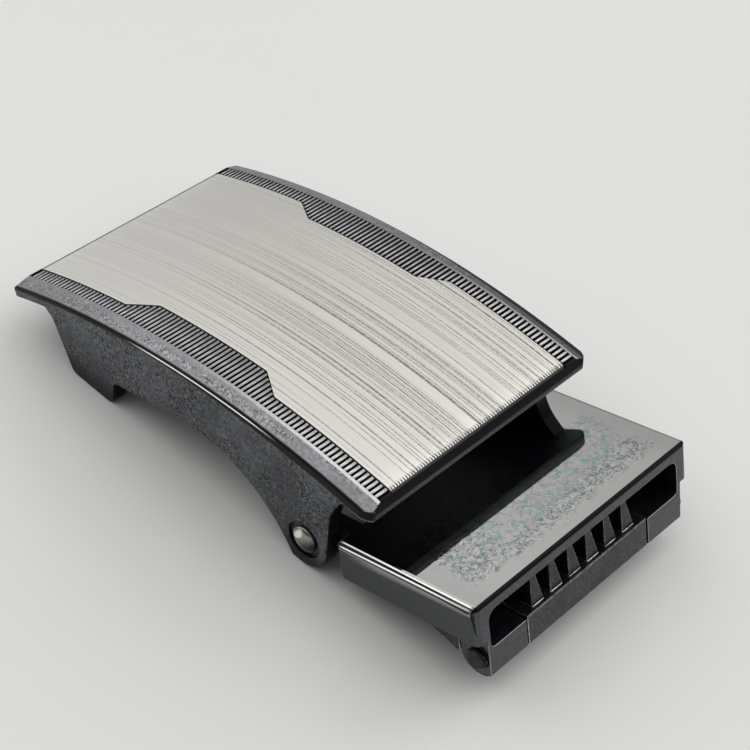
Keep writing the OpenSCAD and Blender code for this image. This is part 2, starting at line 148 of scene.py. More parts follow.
class ShaderGraph:
    """Adds and links the nodes of one tree, left to right."""

    def __init__(self, tree: bpy.types.NodeTree) -> None:
        """Keeps the tree that nodes are added to."""
        self.tree = tree
        self._count = 0

    def add(self, kind: str, inputs: dict[Any, Any] | None = None,
            **settings: Any) -> bpy.types.Node:
        """Adds a node, sets its properties and feeds its inputs.

        Args:
            kind: Blender's name of the node type.
            inputs: Signals, numbers or colours, by the input's name or index.
            **settings: Properties of the node, by name.

        Returns:
            The new node.
        """
        node = self.tree.nodes.new(kind)
        column, row = divmod(self._count, NODES_PER_COLUMN)
        node.location = (NODE_WIDTH * column, -NODE_HEIGHT * row)
        self._count += 1
        for name, value in settings.items():
            setattr(node, name, value)
        for key, value in (inputs or {}).items():
            self._feed(node.inputs[key], value)
        return node

    def _feed(self, socket: bpy.types.NodeSocket, value: Any) -> None:
        """Links an input to a signal, or sets it to a plain value.

        Args:
            socket: The input socket.
            value: A signal, a number, a colour or a vector.
        """
        if isinstance(value, Signal):
            self.tree.links.new(value.socket, socket)
        elif isinstance(value, tuple) and socket.type == "RGBA":
            socket.default_value = (*value, 1.0)
        else:
            socket.default_value = value

    def put(self, kind: str, inputs: dict[Any, Any] | None = None, output: int | str = 0,
            **settings: Any) -> Signal:
        """Adds a node and gives one of its outputs.

        Args:
            kind: Blender's name of the node type.
            inputs: Signals, numbers or colours, by the input's name or index.
            output: Name or index of the output.
            **settings: Properties of the node, by name.

        Returns:
            The output's signal.
        """
        return Signal(self, self.add(kind, inputs, **settings).outputs[output])

    def math(self, operation: str, *values: Any) -> Signal:
        """Adds one step of arithmetic on one to three values."""
        return self.put("ShaderNodeMath", dict(enumerate(values)), operation=operation)

    def ramp(self, value: Any, low: float, high: float, smooth: bool = True) -> Signal:
        """Maps a value from low..high to 0..1, held at both ends.

        Args:
            value: The signal.
            low: Value that gives 0.
            high: Value that gives 1; it may be under low.
            smooth: Whether the ends are eased.

        Returns:
            The mapped signal.
        """
        limits = {"Value": value, "From Min": min(low, high), "From Max": max(low, high)}
        rising = self.put("ShaderNodeMapRange", limits,
                          interpolation_type="SMOOTHSTEP" if smooth else "LINEAR")
        return rising if low <= high else 1.0 - rising

    def stripe(self, value: Any, start: float, stop: float, soft: float) -> Signal:
        """Gives 1 between start and stop, fading to 0 over the soft width at each end.

        Args:
            value: The signal.
            start: Where the stripe begins.
            stop: Where the stripe ends.
            soft: Width of each fade.

        Returns:
            The stripe's signal.
        """
        return (self.ramp(value, start - soft, start + soft)
                * self.ramp(value, stop + soft, stop - soft))

    def mix(self, factor: Any, a: Any, b: Any) -> Signal:
        """Mixes two colours: a where the factor is 0, b where it is 1."""
        return self.put("ShaderNodeMix", {"Factor": factor, "A": a, "B": b}, "Result",
                        data_type="RGBA")

    def blend(self, factor: Any, a: Any, b: Any) -> Signal:
        """Mixes two numbers: a where the factor is 0, b where it is 1."""
        return self.put("ShaderNodeMix", {"Factor": factor, "A": a, "B": b}, "Result",
                        data_type="FLOAT")

    def dot(self, vector: Signal, axis: Sequence[float]) -> Signal:
        """Measures a position along an axis."""
        return self.put("ShaderNodeVectorMath", {0: vector, 1: tuple(axis)}, "Value",
                        operation="DOT_PRODUCT")

    def split(self, vector: Signal) -> list[Signal]:
        """Gives the X, Y and Z of a vector."""
        node = self.add("ShaderNodeSeparateXYZ", {0: vector})
        return [Signal(self, socket) for socket in node.outputs]

    def join(self, x: Any, y: Any, z: Any) -> Signal:
        """Makes a vector of three numbers or signals."""
        return self.put("ShaderNodeCombineXYZ", {0: x, 1: y, 2: z})

    def place(self) -> Signal:
        """Reads the object's own coordinates, in millimetres."""
        where = self.put("ShaderNodeTexCoord", output="Object")
        return self.put("ShaderNodeMapping", {"Vector": where, "Scale": (1 / MM, 1 / MM, 1 / MM)})

    def far_half(self, where: Signal) -> Signal:
        """Gives 1 on the far side of the buckle and 0 on the near side."""
        return self.ramp(self.dot(where, ACROSS), -SIDE_FADE, SIDE_FADE)

    def noise(self, vector: Signal, scale: float, detail: float = 3.0, rough: float = 0.55,
              distortion: float = 0.0) -> Signal:
        """Adds a noise texture.

        Args:
            vector: The position.
            scale: Noise scale for that position.
            detail: Number of octaves.
            rough: Share of each finer octave.
            distortion: How far the pattern is bent.

        Returns:
            The noise, about 0.5 on average.
        """
        return self.put("ShaderNodeTexNoise", {
            "Vector": vector, "Scale": scale, "Detail": detail, "Roughness": rough,
            "Distortion": distortion})

    def streaks(self, vector: Signal, width: float, along: float, sway: float) -> Signal:
        """Gives each brush line across Y its own random value, which drifts slowly along X.

        Args:
            vector: The position, in millimetres.
            width: Width of a line.
            along: Noise scale along a line.
            sway: How far the value drifts along a line.

        Returns:
            The value, mostly from 0 to 1.
        """
        x, y, _ = self.split(vector)
        row = self.math("FLOOR", y / width)
        own = self.put("ShaderNodeTexWhiteNoise", {"W": row + 0.5}, "Value",
                       noise_dimensions="1D")
        row_spacing = 3.7
        drift = self.noise(self.join(x * along, row * row_spacing, 0.0), 1.0, 2.0, 0.6) - 0.5
        return drift * sway + own

    def contour(self, value: Signal, level: float, width: float) -> Signal:
        """Gives 1 where a value crosses a level, fading to 0 over the width beside it."""
        return self.ramp(abs(value - level), width, 0.0)

    def bump(self, height: Signal, strength: float, depth_mm: float) -> Signal:
        """Turns a height of about 0 to 1 into a shading normal."""
        return self.put("ShaderNodeBump", {
            "Height": height, "Strength": strength, "Distance": depth_mm * MM}, "Normal")


def shaded(colour: Colour, share: float) -> Colour:
    """Scales a colour."""
    return tuple(share * part for part in colour)


def shared_group(draw: Callable[..., dict[str, Signal]]) -> Callable[..., dict[str, Signal]]:
    """Turns a drawing of a pattern into a shader node group that is built once.

    Args:
        draw: Makes the group's outputs by name, from the group's graph, its Position and
            its other inputs.

    Returns:
        A function that places the group in a graph and gives its outputs by name.
    """
    built: list[bpy.types.NodeTree] = []

    def build(inputs: dict[str, float]) -> None:
        """Builds the group, with its first values as the inputs' defaults.

        Args:
            inputs: The inputs beside Position, by name.
        """
        tree = bpy.data.node_groups.new(draw.__name__, "ShaderNodeTree")
        tree.interface.new_socket("Position", in_out="INPUT", socket_type="NodeSocketVector")
        for label, value in inputs.items():
            tree.interface.new_socket(label, in_out="INPUT",
                                      socket_type="NodeSocketFloat").default_value = value
        graph = ShaderGraph(tree)
        given = graph.add("NodeGroupInput").outputs
        outputs = draw(graph, *(Signal(graph, given[label]) for label in ("Position", *inputs)))
        for label in outputs:
            tree.interface.new_socket(label, in_out="OUTPUT", socket_type="NodeSocketFloat")
        graph.add("NodeGroupOutput", outputs)
        built.append(tree)

    def place(graph: ShaderGraph, where: Signal, **settings: float) -> dict[str, Signal]:
        """Places the group in a material.

        Args:
            graph: The material's graph.
            where: The position, in millimetres.
            **settings: The group's other inputs, by name in small letters.

        Returns:
            The group's outputs, by name.
        """
        inputs = {name.capitalize(): value for name, value in settings.items()}
        if not built:
            build(inputs)
        node = graph.add("ShaderNodeGroup", {"Position": where, **inputs}, node_tree=built[0])
        return {socket.name: Signal(graph, socket) for socket in node.outputs}

    return place


class SurfaceEffects:
    """Shader node groups that several finishes share, each built once."""

    @staticmethod
    @shared_group
    def cast_mottle(graph: ShaderGraph, where: Signal, patch: Signal) -> dict[str, Signal]:
        """Fine mottling of a plated casting.

        Args:
            graph: The group's graph.
            where: The position, in millimetres.
            patch: How much of the surface the strong patches cover, about 0.5.

        Returns:
            Mask, Cool and Warm for the colours, and Height.
        """
        fine = graph.noise(where, 2.2, 3.0, 0.6, 1.2)
        worm = graph.noise(where, 3.6, 1.0, 0.5, 2.2)
        cover = graph.noise(where, 0.16, 2.0, 0.5) + (patch - 0.5)
        cover = graph.ramp(cover, 0.42, 0.60)
        grain = graph.ramp(fine, 0.42, 0.60) + graph.ramp(worm, 0.44, 0.58)
        cool = graph.ramp(graph.noise(where, 1.1, 2.0, 0.6, 0.8), 0.54, 0.66)
        warm = graph.ramp(graph.noise(where, 1.3, 2.0, 0.6, 1.1), 0.55, 0.68)
        return {"Mask": grain * 0.5 * graph.blend(cover, 0.55, 1.0), "Cool": cover * cool,
                "Warm": cover * warm, "Height": grain}

    @staticmethod
    @shared_group
    def brushed_lines(graph: ShaderGraph, where: Signal) -> dict[str, Signal]:
        """Brush lines along the strap.

        Args:
            graph: The group's graph.
            where: The position, in millimetres.

        Returns:
            Hairline for dark lines, Band for soft bands, and Height.
        """
        bold = graph.ramp(graph.streaks(where, 0.10, 0.02, 0.42), 0.775, 0.825)
        thin = graph.ramp(graph.streaks(where, 0.08, 0.03, 0.6), 0.68, 0.84)
        fine = graph.streaks(where, 0.09, 0.02, 0.6)
        dashes = graph.blend(graph.ramp(graph.noise(where, 3.4, 2.0, 0.6), 0.36, 0.56), 0.5, 1.0)
        hair = graph.math("MAXIMUM", bold, thin * 0.28)
        return {"Hairline": hair * dashes, "Band": graph.ramp(fine, 0.0, 1.0, smooth=False),
                "Height": fine - hair}

    @staticmethod
    @shared_group
    def worm_lines(graph: ShaderGraph, where: Signal, fineness: Signal) -> dict[str, Signal]:
        """Crinkled lines of a tarnish film, which wander like worms.

        Args:
            graph: The group's graph.
            where: The position, in millimetres.
            fineness: Scale of the lines.

        Returns:
            Dark and Pale for the two kinds of line, and Height.
        """
        scaled = graph.put("ShaderNodeVectorMath", {0: where, "Scale": fineness},
                           operation="SCALE")
        worm = graph.noise(scaled, 1.0, 1.0, 0.5, 0.9)
        return {"Dark": graph.contour(worm, 0.46, 0.085),
                "Pale": graph.contour(worm, 0.56, 0.065), "Height": worm}

    @staticmethod
    @shared_group
    def dust_specks(graph: ShaderGraph, where: Signal, amount: Signal) -> dict[str, Signal]:
        """Tiny bright specks that lie on polished metal.

        Args:
            graph: The group's graph.
            where: The position, in millimetres.
            amount: Share of the specks that are kept.

        Returns:
            Speck, 1 on a speck and 0 beside it.
        """
        cells = graph.add("ShaderNodeTexVoronoi", {"Vector": where, "Scale": 0.62}, feature="F1")
        spot = graph.ramp(Signal(graph, cells.outputs["Distance"]), 0.085, 0.045)
        chance = graph.split(Signal(graph, cells.outputs["Color"]))[0]
        return {"Speck": spot * graph.math("LESS_THAN", chance, amount)}


# Where the patterns lie


@dataclass(frozen=True)
class CrownPlace:
    """Where the crown's centre of curvature lies, and its radius."""

    x: float
    z: float
    radius: float

    def drop(self, graph: ShaderGraph, where: Signal) -> Signal:
        """Measures the depth under the crown, for a material.

        Args:
            graph: The material's graph.
            where: The position, in millimetres.

        Returns:
            The depth.
        """
        along = graph.dot(where, ALONG) - self.x
        up = graph.dot(where, UP) - self.z
        return self.radius - graph.math("SQRT", along * along + up * up)

    def drop_of(self, at: Vector) -> float:
        """Depth of a point under the crown."""
        return self.radius - math.hypot(at.x - self.x, at.z - self.z)


@dataclass(frozen=True)
class BoxPlace:
    """Where the clamp box lies: its hinge axis and tilt."""

    hinge_x: float
    hinge_z: float
    tilt_deg: float

    def turned(self, x: float, z: float) -> tuple[float, float]:
        """Splits an offset into its parts towards the mouth and square to the box's top."""
        turn = math.radians(self.tilt_deg)
        return (x * math.cos(turn) + z * math.sin(turn),
                -x * math.sin(turn) + z * math.cos(turn))

    def _from_hinge(self, graph: ShaderGraph, where: Signal, part: int) -> Signal:
        """Measures a position from the hinge, in one of the box's own directions.

        Args:
            graph: The material's graph.
            where: The position, in millimetres.
            part: 0 for towards the mouth, 1 for square to the top.

        Returns:
            The distance.
        """
        axis = (self.turned(1.0, 0.0)[part], 0.0, self.turned(0.0, 1.0)[part])
        return graph.dot(where, axis) - self.turned(self.hinge_x, self.hinge_z)[part]

    def along(self, graph: ShaderGraph, where: Signal) -> Signal:
        """Distance from the hinge towards the mouth, for a material."""
        return self._from_hinge(graph, where, 0)

    def above(self, graph: ShaderGraph, where: Signal) -> Signal:
        """Height over the hinge, square to the box's top, for a material."""
        return self._from_hinge(graph, where, 1)


# Finishes


@dataclass(frozen=True)
class Finish:
    """Base of all finishes: a material with one surface shader."""

    name: str

    def look(self, graph: ShaderGraph, where: Signal) -> dict[str, Any]:
        """Lays out the surface shader's inputs.

        Args:
            graph: The material's graph.
            where: The position, in millimetres.

        Returns:
            The shader's inputs by name: signals, numbers or colours.
        """
        raise NotImplementedError

    def build(self) -> bpy.types.Material:
        """Builds the material.

        Returns:
            The new material.
        """
        material = bpy.data.materials.new(self.name)
        material.use_nodes = True
        material.node_tree.nodes.clear()
        graph = ShaderGraph(material.node_tree)
        look = self.look(graph, graph.place())
        surface = graph.put("ShaderNodeBsdfPrincipled", look, "BSDF")
        graph.add("ShaderNodeOutputMaterial", {"Surface": surface})
        return material


@dataclass(frozen=True)
class MottledCasting(Finish):
    """Dark plated casting with a fine mottled grain."""

    dark: Colour
    light: Colour
    cool: Colour
    warm: Colour
    metallic: float = 0.85
    roughness: float = 0.36
    light_roughness: float = 0.12
    bump: float = 0.25
    grain_height: float = 0.03
    patch: float = 0.5
    tint: float = 0.5
    worms: float = 0.0
    fineness: float = 2.6
    specular: float = 0.5
    worm_dark: float = 0.3
    worm_pale: Colour = (0.25, 0.256, 0.275)

    def look(self, graph: ShaderGraph, where: Signal) -> dict[str, Any]:
        """Lays out the mottled grain, with worm lines where the casting has them.

        Args:
            graph: The material's graph.
            where: The position, in millimetres.

        Returns:
            The shader's inputs by name.
        """
        grain = SurfaceEffects.cast_mottle(graph, where, patch=self.patch)
        colour = graph.mix(grain["Mask"], self.dark, self.light)
        colour = graph.mix(grain["Cool"] * self.tint, colour, self.cool)
        colour = graph.mix(grain["Warm"] * self.tint, colour, self.warm)
        if self.worms > 0:
            worm = SurfaceEffects.worm_lines(graph, where, fineness=self.fineness)
            reach = self.worm_field(graph, where) * self.worms
            colour = graph.mix(reach * worm["Dark"], colour, shaded(self.dark, self.worm_dark))
            colour = graph.mix(reach * worm["Pale"], colour, self.worm_pale)
        rough = graph.blend(grain["Mask"], self.roughness, self.roughness + self.light_roughness)
        return {"Base Color": colour, "Metallic": self.metallic, "Roughness": rough,
                "Specular IOR Level": self.specular,
                "Normal": graph.bump(grain["Height"], self.bump, self.grain_height)}

    def worm_field(self, graph: ShaderGraph, where: Signal) -> Signal:
        """Where the worm lines show: in wide soft patches."""
        return graph.ramp(graph.noise(where, 0.22, 2.0, 0.5), 0.40, 0.56)


@dataclass(frozen=True)
class CheekCasting(MottledCasting):
    """Mottled cheek whose rounded rim, under the side bevel, carries a painted black reflection
    and a glowing painted highlight line.
    """

    crown: CrownPlace = CrownPlace(0.0, 0.0, 1.0)
    bright_from: float = -20.0
    bright_to: float = 7.5
    line_top: float = 0.90
    line_foot: float = 1.12
    rim_top: float = 0.70
    rim_foot_tail: float = 1.24
    rim_foot_mouth: float = 1.86
    rim_soft: float = 0.03
    rim_fade: float = 0.02
    taper: float = 0.55
    foot_z: float = 0.8
    foot_fade_z: float = 4.6
    foot_shade: float = 0.85
    glow: float = 0.25
    black: Colour = (0.003, 0.003, 0.004)
    white: Colour = (0.96, 0.96, 0.93)

    def look(self, graph: ShaderGraph, where: Signal) -> dict[str, Any]:
        """Lays out the mottled cheek with painted shade at its foot, a painted black reflection
        on its rim and a painted highlight line.

        Args:
            graph: The material's graph.
            where: The position, in millimetres.

        Returns:
            The shader's inputs by name.
        """
        base = super().look(graph, where)
        drop = self.crown.drop(graph, where)
        along = graph.dot(where, ALONG)
        to_mouth = graph.ramp(along, self.bright_from - 4.0, self.bright_to + 2.0)
        rim_foot = graph.blend(to_mouth, self.rim_foot_tail, self.rim_foot_mouth)
        # painted reflection: the rounded rim is coloured black
        rim = (graph.ramp(drop - rim_foot, self.rim_soft, -self.rim_soft)
               * graph.ramp(drop, self.rim_top - self.rim_fade, self.rim_top + self.rim_fade))
        middle = (self.bright_from + self.bright_to) / 2
        half = (self.bright_to - self.bright_from) / 2
        taper = graph.ramp(abs(along - middle), half, half * self.taper)
        # painted highlight: a white line along the rim, which also glows
        line = graph.stripe(drop, self.line_top, self.line_foot, self.rim_soft) * taper
        # painted shade: darker towards the floor
        foot = graph.ramp(graph.dot(where, UP), self.foot_fade_z, self.foot_z)
        colour = graph.mix(foot * self.foot_shade, base["Base Color"], shaded(self.dark, 0.4))
        colour = graph.mix(rim, colour, self.black)
        return {**base, "Base Color": graph.mix(line, colour, self.white),
                "Roughness": graph.blend(rim, base["Roughness"], 0.25),
                "Metallic": graph.blend(rim, self.metallic, 0.0),
                "Emission Color": self.white, "Emission Strength": line * self.glow}


@dataclass(frozen=True)
class BevelCasting(MottledCasting):
    """Side bevel: smooth grey with a line of worm marks along its middle."""

    crown: CrownPlace = CrownPlace(0.0, 0.0, 1.0)
    smooth_from: float = 6.0
    smooth_to: float = 15.0
    tail_from: float = -16.0
    tail_to: float = -34.0
    tail_shade: float = 0.30
    mouth_from: float = -14.0
    mouth_to: float = 18.0
    far_shade: float = 0.68
    pale_near: float = 0.8
    pale_far: float = 0.45
    rim_drop: float = 0.60
    rim_fade: float = 0.08
    far_rim: float = 0.24
    shadow: Colour = (0.035, 0.037, 0.042)
    painted_highlight: Colour = (0.80, 0.80, 0.79)
    black: Colour = (0.003, 0.003, 0.004)

    def worm_field(self, graph: ShaderGraph, where: Signal) -> Signal:
        """Where the worm lines show: along the middle, thinning out towards the mouth.

        Args:
            graph: The material's graph.
            where: The position, in millimetres.

        Returns:
            The field's signal.
        """
        drop = self.crown.drop(graph, where)
        mouth = graph.ramp(graph.dot(where, ALONG), self.smooth_from, self.smooth_to)
        middle = graph.blend(mouth, graph.stripe(drop, 0.24, 0.55, 0.09),
                             graph.stripe(drop, 0.10, 0.24, 0.06))
        return middle * graph.ramp(graph.noise(where, 0.35, 2.0, 0.5), 0.30, 0.52)

    def look(self, graph: ShaderGraph, where: Signal) -> dict[str, Any]:
        """Lays out the bevel with painted shade at the tail and on the far side, a painted black
        reflection along its outer edge and a painted highlight at its top edge.

        Args:
            graph: The material's graph.
            where: The position, in millimetres.

        Returns:
            The shader's inputs by name.
        """
        base = super().look(graph, where)
        drop = self.crown.drop(graph, where)
        along = graph.dot(where, ALONG)
        # painted shade: darker towards the tail
        tail = graph.ramp(along, self.tail_from, self.tail_to)
        colour = graph.mix(tail * self.tail_shade, base["Base Color"], self.shadow)
        mouth = graph.ramp(along, self.mouth_from, self.mouth_to)
        far = graph.far_half(where) * mouth
        # painted reflection: the outer edge is coloured black, wider on the far side
        rim = graph.ramp(far * self.far_rim + drop, self.rim_drop,
                         self.rim_drop + self.rim_fade)
        # painted shade: the far side is darker
        shade = far * graph.ramp(drop, 0.10, 0.16)
        colour = graph.mix(shade * self.far_shade, colour, self.shadow)
        # painted highlight: pale along the top edge towards the mouth
        pale = mouth * graph.ramp(drop, 0.15, 0.09)
        pale = pale * graph.blend(far, self.pale_near, self.pale_far)
        colour = graph.mix(pale, colour, self.painted_highlight)
        return {**base, "Base Color": graph.mix(rim, colour, self.black),
                "Metallic": graph.blend(rim, self.metallic, 0.0)}


@dataclass(frozen=True)
class RibSteel(Finish):
    """Ribbed band: bright crests over grooves painted black as shade."""

    crown: CrownPlace
    crest: float = 0.05
    root: float = 0.10
    far_lift: float = 0.02
    pale_from: float = -8.0
    pale_to: float = 20.0
    wear_and_sheen: float = 0.7
    crest_colour: Colour = (0.50, 0.50, 0.515)
    mouth_colour: Colour = (0.76, 0.76, 0.755)
    root_colour: Colour = (0.003, 0.003, 0.004)

    def look(self, graph: ShaderGraph, where: Signal) -> dict[str, Any]:
        """Lays out worn crests, with a painted highlight towards the mouth and painted shade on
        the far side, over grooves painted black as shade.

        Args:
            graph: The material's graph.
            where: The position, in millimetres.

        Returns:
            The shader's inputs by name.
        """
        # painted shade: on the far side the black reaches further up the crests
        drop = self.crown.drop(graph, where) + graph.far_half(where) * self.far_lift
        # painted shade: black in the grooves under the crests
        height = graph.ramp(drop, self.root, self.crest)
        wear_and_sheen = graph.ramp(graph.noise(where, 1.6, 3.0, 0.6), 0.35, 0.7)
        crest = graph.mix(wear_and_sheen, self.crest_colour, shaded(self.crest_colour, self.wear_and_sheen))
        # painted highlight: the crests are paler towards the mouth
        to_mouth = graph.ramp(graph.dot(where, ALONG), self.pale_from, self.pale_to)
        crest = graph.mix(to_mouth, crest, self.mouth_colour)
        return {"Base Color": graph.mix(height, self.root_colour, crest),
                "Metallic": height * 0.8, "Roughness": graph.blend(height, 0.65, 0.5),
                "Specular IOR Level": 0.2}


@dataclass(frozen=True)
class SatinSteel(Finish):
    """Brushed plate: pale warm steel with irregular dark hairlines along the strap."""

    tail_x: float
    mouth_x: float
    pale: Colour = (0.76, 0.745, 0.705)
    bright: Colour = (0.945, 0.912, 0.845)
    dark: Colour = (0.08, 0.075, 0.068)
    black: Colour = (0.012, 0.012, 0.014)
    rust: Colour = (0.07, 0.03, 0.012)
    spot: tuple[float, float, float] = (17.9, -5.0, 16.9)
    spot_radius: float = 0.62
    spot_core: float = 0.42
    spot_cover: float = 0.8
    comb_pitch: float = 0.43
    comb_from: float = 1.15
    comb_full: float = 0.60
    comb_cover: float = 0.92
    end_from: float = 0.50
    end_full: float = 0.42

    def look(self, graph: ShaderGraph, where: Signal) -> dict[str, Any]:
        """Lays out the brushed steel, painted brighter towards the mouth as a highlight, with its
        comb of black at the mouth's end and a rust spot.

        Args:
            graph: The material's graph.
            where: The position, in millimetres.

        Returns:
            The shader's inputs by name.
        """
        lines = SurfaceEffects.brushed_lines(graph, where)
        along = graph.dot(where, ALONG)
        to_mouth = graph.ramp(along, self.tail_x, self.mouth_x, smooth=False)
        # painted highlight: pale at the tail, bright at the mouth
        colour = graph.mix(graph.ramp(to_mouth, 0.08, 0.72), self.pale, self.bright)
        band = graph.blend(graph.ramp(to_mouth, 0.1, 0.7), 0.08, 0.09)
        colour = graph.mix(lines["Band"] * band, colour, self.dark)
        strength = graph.blend(graph.ramp(to_mouth, 0.12, 0.70), 0.20, 0.74)
        colour = graph.mix(lines["Hairline"] * strength, colour, self.dark)
        end = self._black_end(graph, where, along)
        colour = graph.mix(end, colour, self.black)
        away = graph.put("ShaderNodeVectorMath", {0: where, 1: self.spot}, "Value",
                         operation="DISTANCE")
        ragged = away + graph.noise(where, 3.0) * 0.5
        stain = graph.ramp(ragged, self.spot_radius, self.spot_core) * self.spot_cover
        return {"Base Color": graph.mix(stain, colour, self.rust),
                "Metallic": graph.blend(end, 0.9, 0.1),
                "Roughness": graph.blend(lines["Hairline"], 0.36, 0.5),
                "Normal": graph.bump(lines["Height"], 0.07, 0.01)}

    def _black_end(self, graph: ShaderGraph, where: Signal, along: Signal) -> Signal:
        """Gives 1 on the black end at the mouth and on the comb's teeth behind it.

        Args:
            graph: The material's graph.
            where: The position, in millimetres.
            along: Its X.

        Returns:
            The end's signal.
        """
        tooth = graph.math("SINE", graph.dot(where, (0.0, 2 * math.pi / self.comb_pitch, 0.0)))
        comb = graph.ramp(tooth, -0.3, 0.3) * graph.ramp(
            along, self.mouth_x - self.comb_from, self.mouth_x - self.comb_full)
        end = graph.ramp(along, self.mouth_x - self.end_from, self.mouth_x - self.end_full)
        return graph.math("MAXIMUM", end, comb * self.comb_cover)


@dataclass(frozen=True)
class MirrorPlating(Finish):
    """Polished top of the clamp box, with a tarnished field that stops short of the mouth."""

    place: BoxPlace
    base: Colour = (0.79, 0.78, 0.755)
    pink: Colour = (0.74, 0.62, 0.67)
    teal: Colour = (0.42, 0.63, 0.63)
    vein_and_shade: Colour = (0.25, 0.29, 0.30)
    glint: Colour = (0.95, 0.95, 0.93)
    dust: Colour = (0.8, 0.8, 0.78)
    lean: float = 0.05
    field_rear: float = 13.0
    field_front: float = 24.6
    field_near: float = -16.0
    field_far: float = 17.0
    field_sway: float = 5.0
    border_from: float = 20.5
    border_full: float = 22.6
    inner_from: float = 24.4
    inner_full: float = 22.4
    near_from: float = -7.0
    near_full: float = -11.0
    side_from: float = 13.0
    side_full: float = 18.5
    side_shade: float = 0.20
    relief: float = 0.004

    def look(self, graph: ShaderGraph, where: Signal) -> dict[str, Any]:
        """Lays out the mirror, with blotches in the field, worm lines along its border and
        painted shade towards its long sides.

        Args:
            graph: The material's graph.
            where: The position, in millimetres.

        Returns:
            The shader's inputs by name.
        """
        along = self.place.along(graph, where)
        across = graph.dot(where, ACROSS)
        sway = (graph.noise(where, 0.30, 3.0, 0.6) - 0.5) * self.field_sway
        field_x = along + sway
        cover = (graph.stripe(field_x, self.field_rear, self.field_front, 0.8)
                 * graph.stripe(across + sway, self.field_near, self.field_far, 0.9))
        border = graph.math("MAXIMUM",
                            graph.ramp(field_x, self.border_from, self.border_full),
                            graph.ramp(across, self.near_from, self.near_full))
        border = cover * graph.blend(border, 0.32, 1.0)
        inner = cover * graph.ramp(field_x, self.inner_from, self.inner_full)
        colour: Any = self.base
        for tint, scale, distortion in ((self.pink, 0.78, 0.7), (self.teal, 0.92, 0.9)):
            blotch = graph.noise(where, scale, 3.0, 0.62, distortion)
            colour = graph.mix(inner * graph.ramp(blotch, 0.48, 0.62), colour, tint)
        worm = SurfaceEffects.worm_lines(graph, where, fineness=1.45)
        colour = graph.mix(border * (worm["Pale"] * 0.8), colour, self.glint)
        colour = graph.mix(border * (worm["Dark"] * 0.9), colour, self.vein_and_shade)
        # painted shade: darker towards both long sides, in the vein colour
        sides = graph.ramp(abs(across), self.side_from, self.side_full) * self.side_shade
        colour = graph.mix(sides, colour, self.vein_and_shade)
        speck = SurfaceEffects.dust_specks(graph, where, amount=0.10)["Speck"]
        relief = along * -self.lean + border * worm["Height"] * self.relief
        return {"Base Color": graph.mix(speck, colour, self.dust),
                "Metallic": 1.0 - speck * 0.9, "Roughness": graph.blend(cover, 0.008, 0.035),
                "Normal": graph.bump(relief, 1.0, 1.0)}


@dataclass(frozen=True)
class EdgeReflection(Finish):
    """Rounded long edge of the clamp box: painted reflection, bright glowing and black lines that
    follow the edge.
    """

    place: BoxPlace
    edge_y: float
    edge_up: float
    rear_x: float
    mouth_x: float
    upper_from: tuple[float, float] = (20.0, 17.0)
    upper_to: tuple[float, float] = (31.0, 34.0)
    lower_from: tuple[float, float] = (58.0, 46.0)
    lower_to: tuple[float, float] = (69.0, 62.0)
    line_soft: tuple[float, float] = (-2.0, 3.0)
    ends: tuple[float, float] = (0.03, 0.965)
    glow: float = 0.3
    black: Colour = (0.004, 0.004, 0.005)
    white: Colour = (0.97, 0.97, 0.95)
    grey: Colour = (0.36, 0.36, 0.34)

    def look(self, graph: ShaderGraph, where: Signal) -> dict[str, Any]:
        """Lays out the painted reflection lines by their angle round the edge, which drifts
        towards the mouth.

        Args:
            graph: The material's graph.
            where: The position, in millimetres.

        Returns:
            The shader's inputs by name.
        """
        out = abs(graph.dot(where, ACROSS)) - self.edge_y
        up = self.place.above(graph, where) - self.edge_up
        turn = graph.math("ARCTAN2", out, up) * math.degrees(1.0)
        along = graph.ramp(self.place.along(graph, where), self.rear_x, self.mouth_x,
                           smooth=False)
        under, over = self.line_soft
        upper, lower = (
            graph.ramp(turn - graph.blend(along, *start), under, over)
            * graph.ramp(turn - graph.blend(along, *stop), over, under)
            for start, stop in ((self.upper_from, self.upper_to),
                                (self.lower_from, self.lower_to)))
        line = graph.math("MAXIMUM", upper, lower) * graph.stripe(along, *self.ends, 0.02)
        line = line * graph.ramp(graph.dot(where, ACROSS), SIDE_FADE, -SIDE_FADE)
        # painted reflection: black edge with glowing white lines, greyer near both ends of the
        # turn
        colour = graph.mix(line, self.black, self.white)
        pale = graph.ramp(turn, 77.0, 82.0) * graph.ramp(along, 1.0, 0.7)
        colour = graph.mix(pale, colour, self.grey)
        colour = graph.mix(graph.ramp(turn, 11.0, 6.0), colour, self.grey)
        return {"Base Color": colour, "Metallic": 0.0,
                "Roughness": graph.blend(line, 0.25, 0.5), "Specular IOR Level": 0.35,
                "Emission Color": self.white, "Emission Strength": line * self.glow}


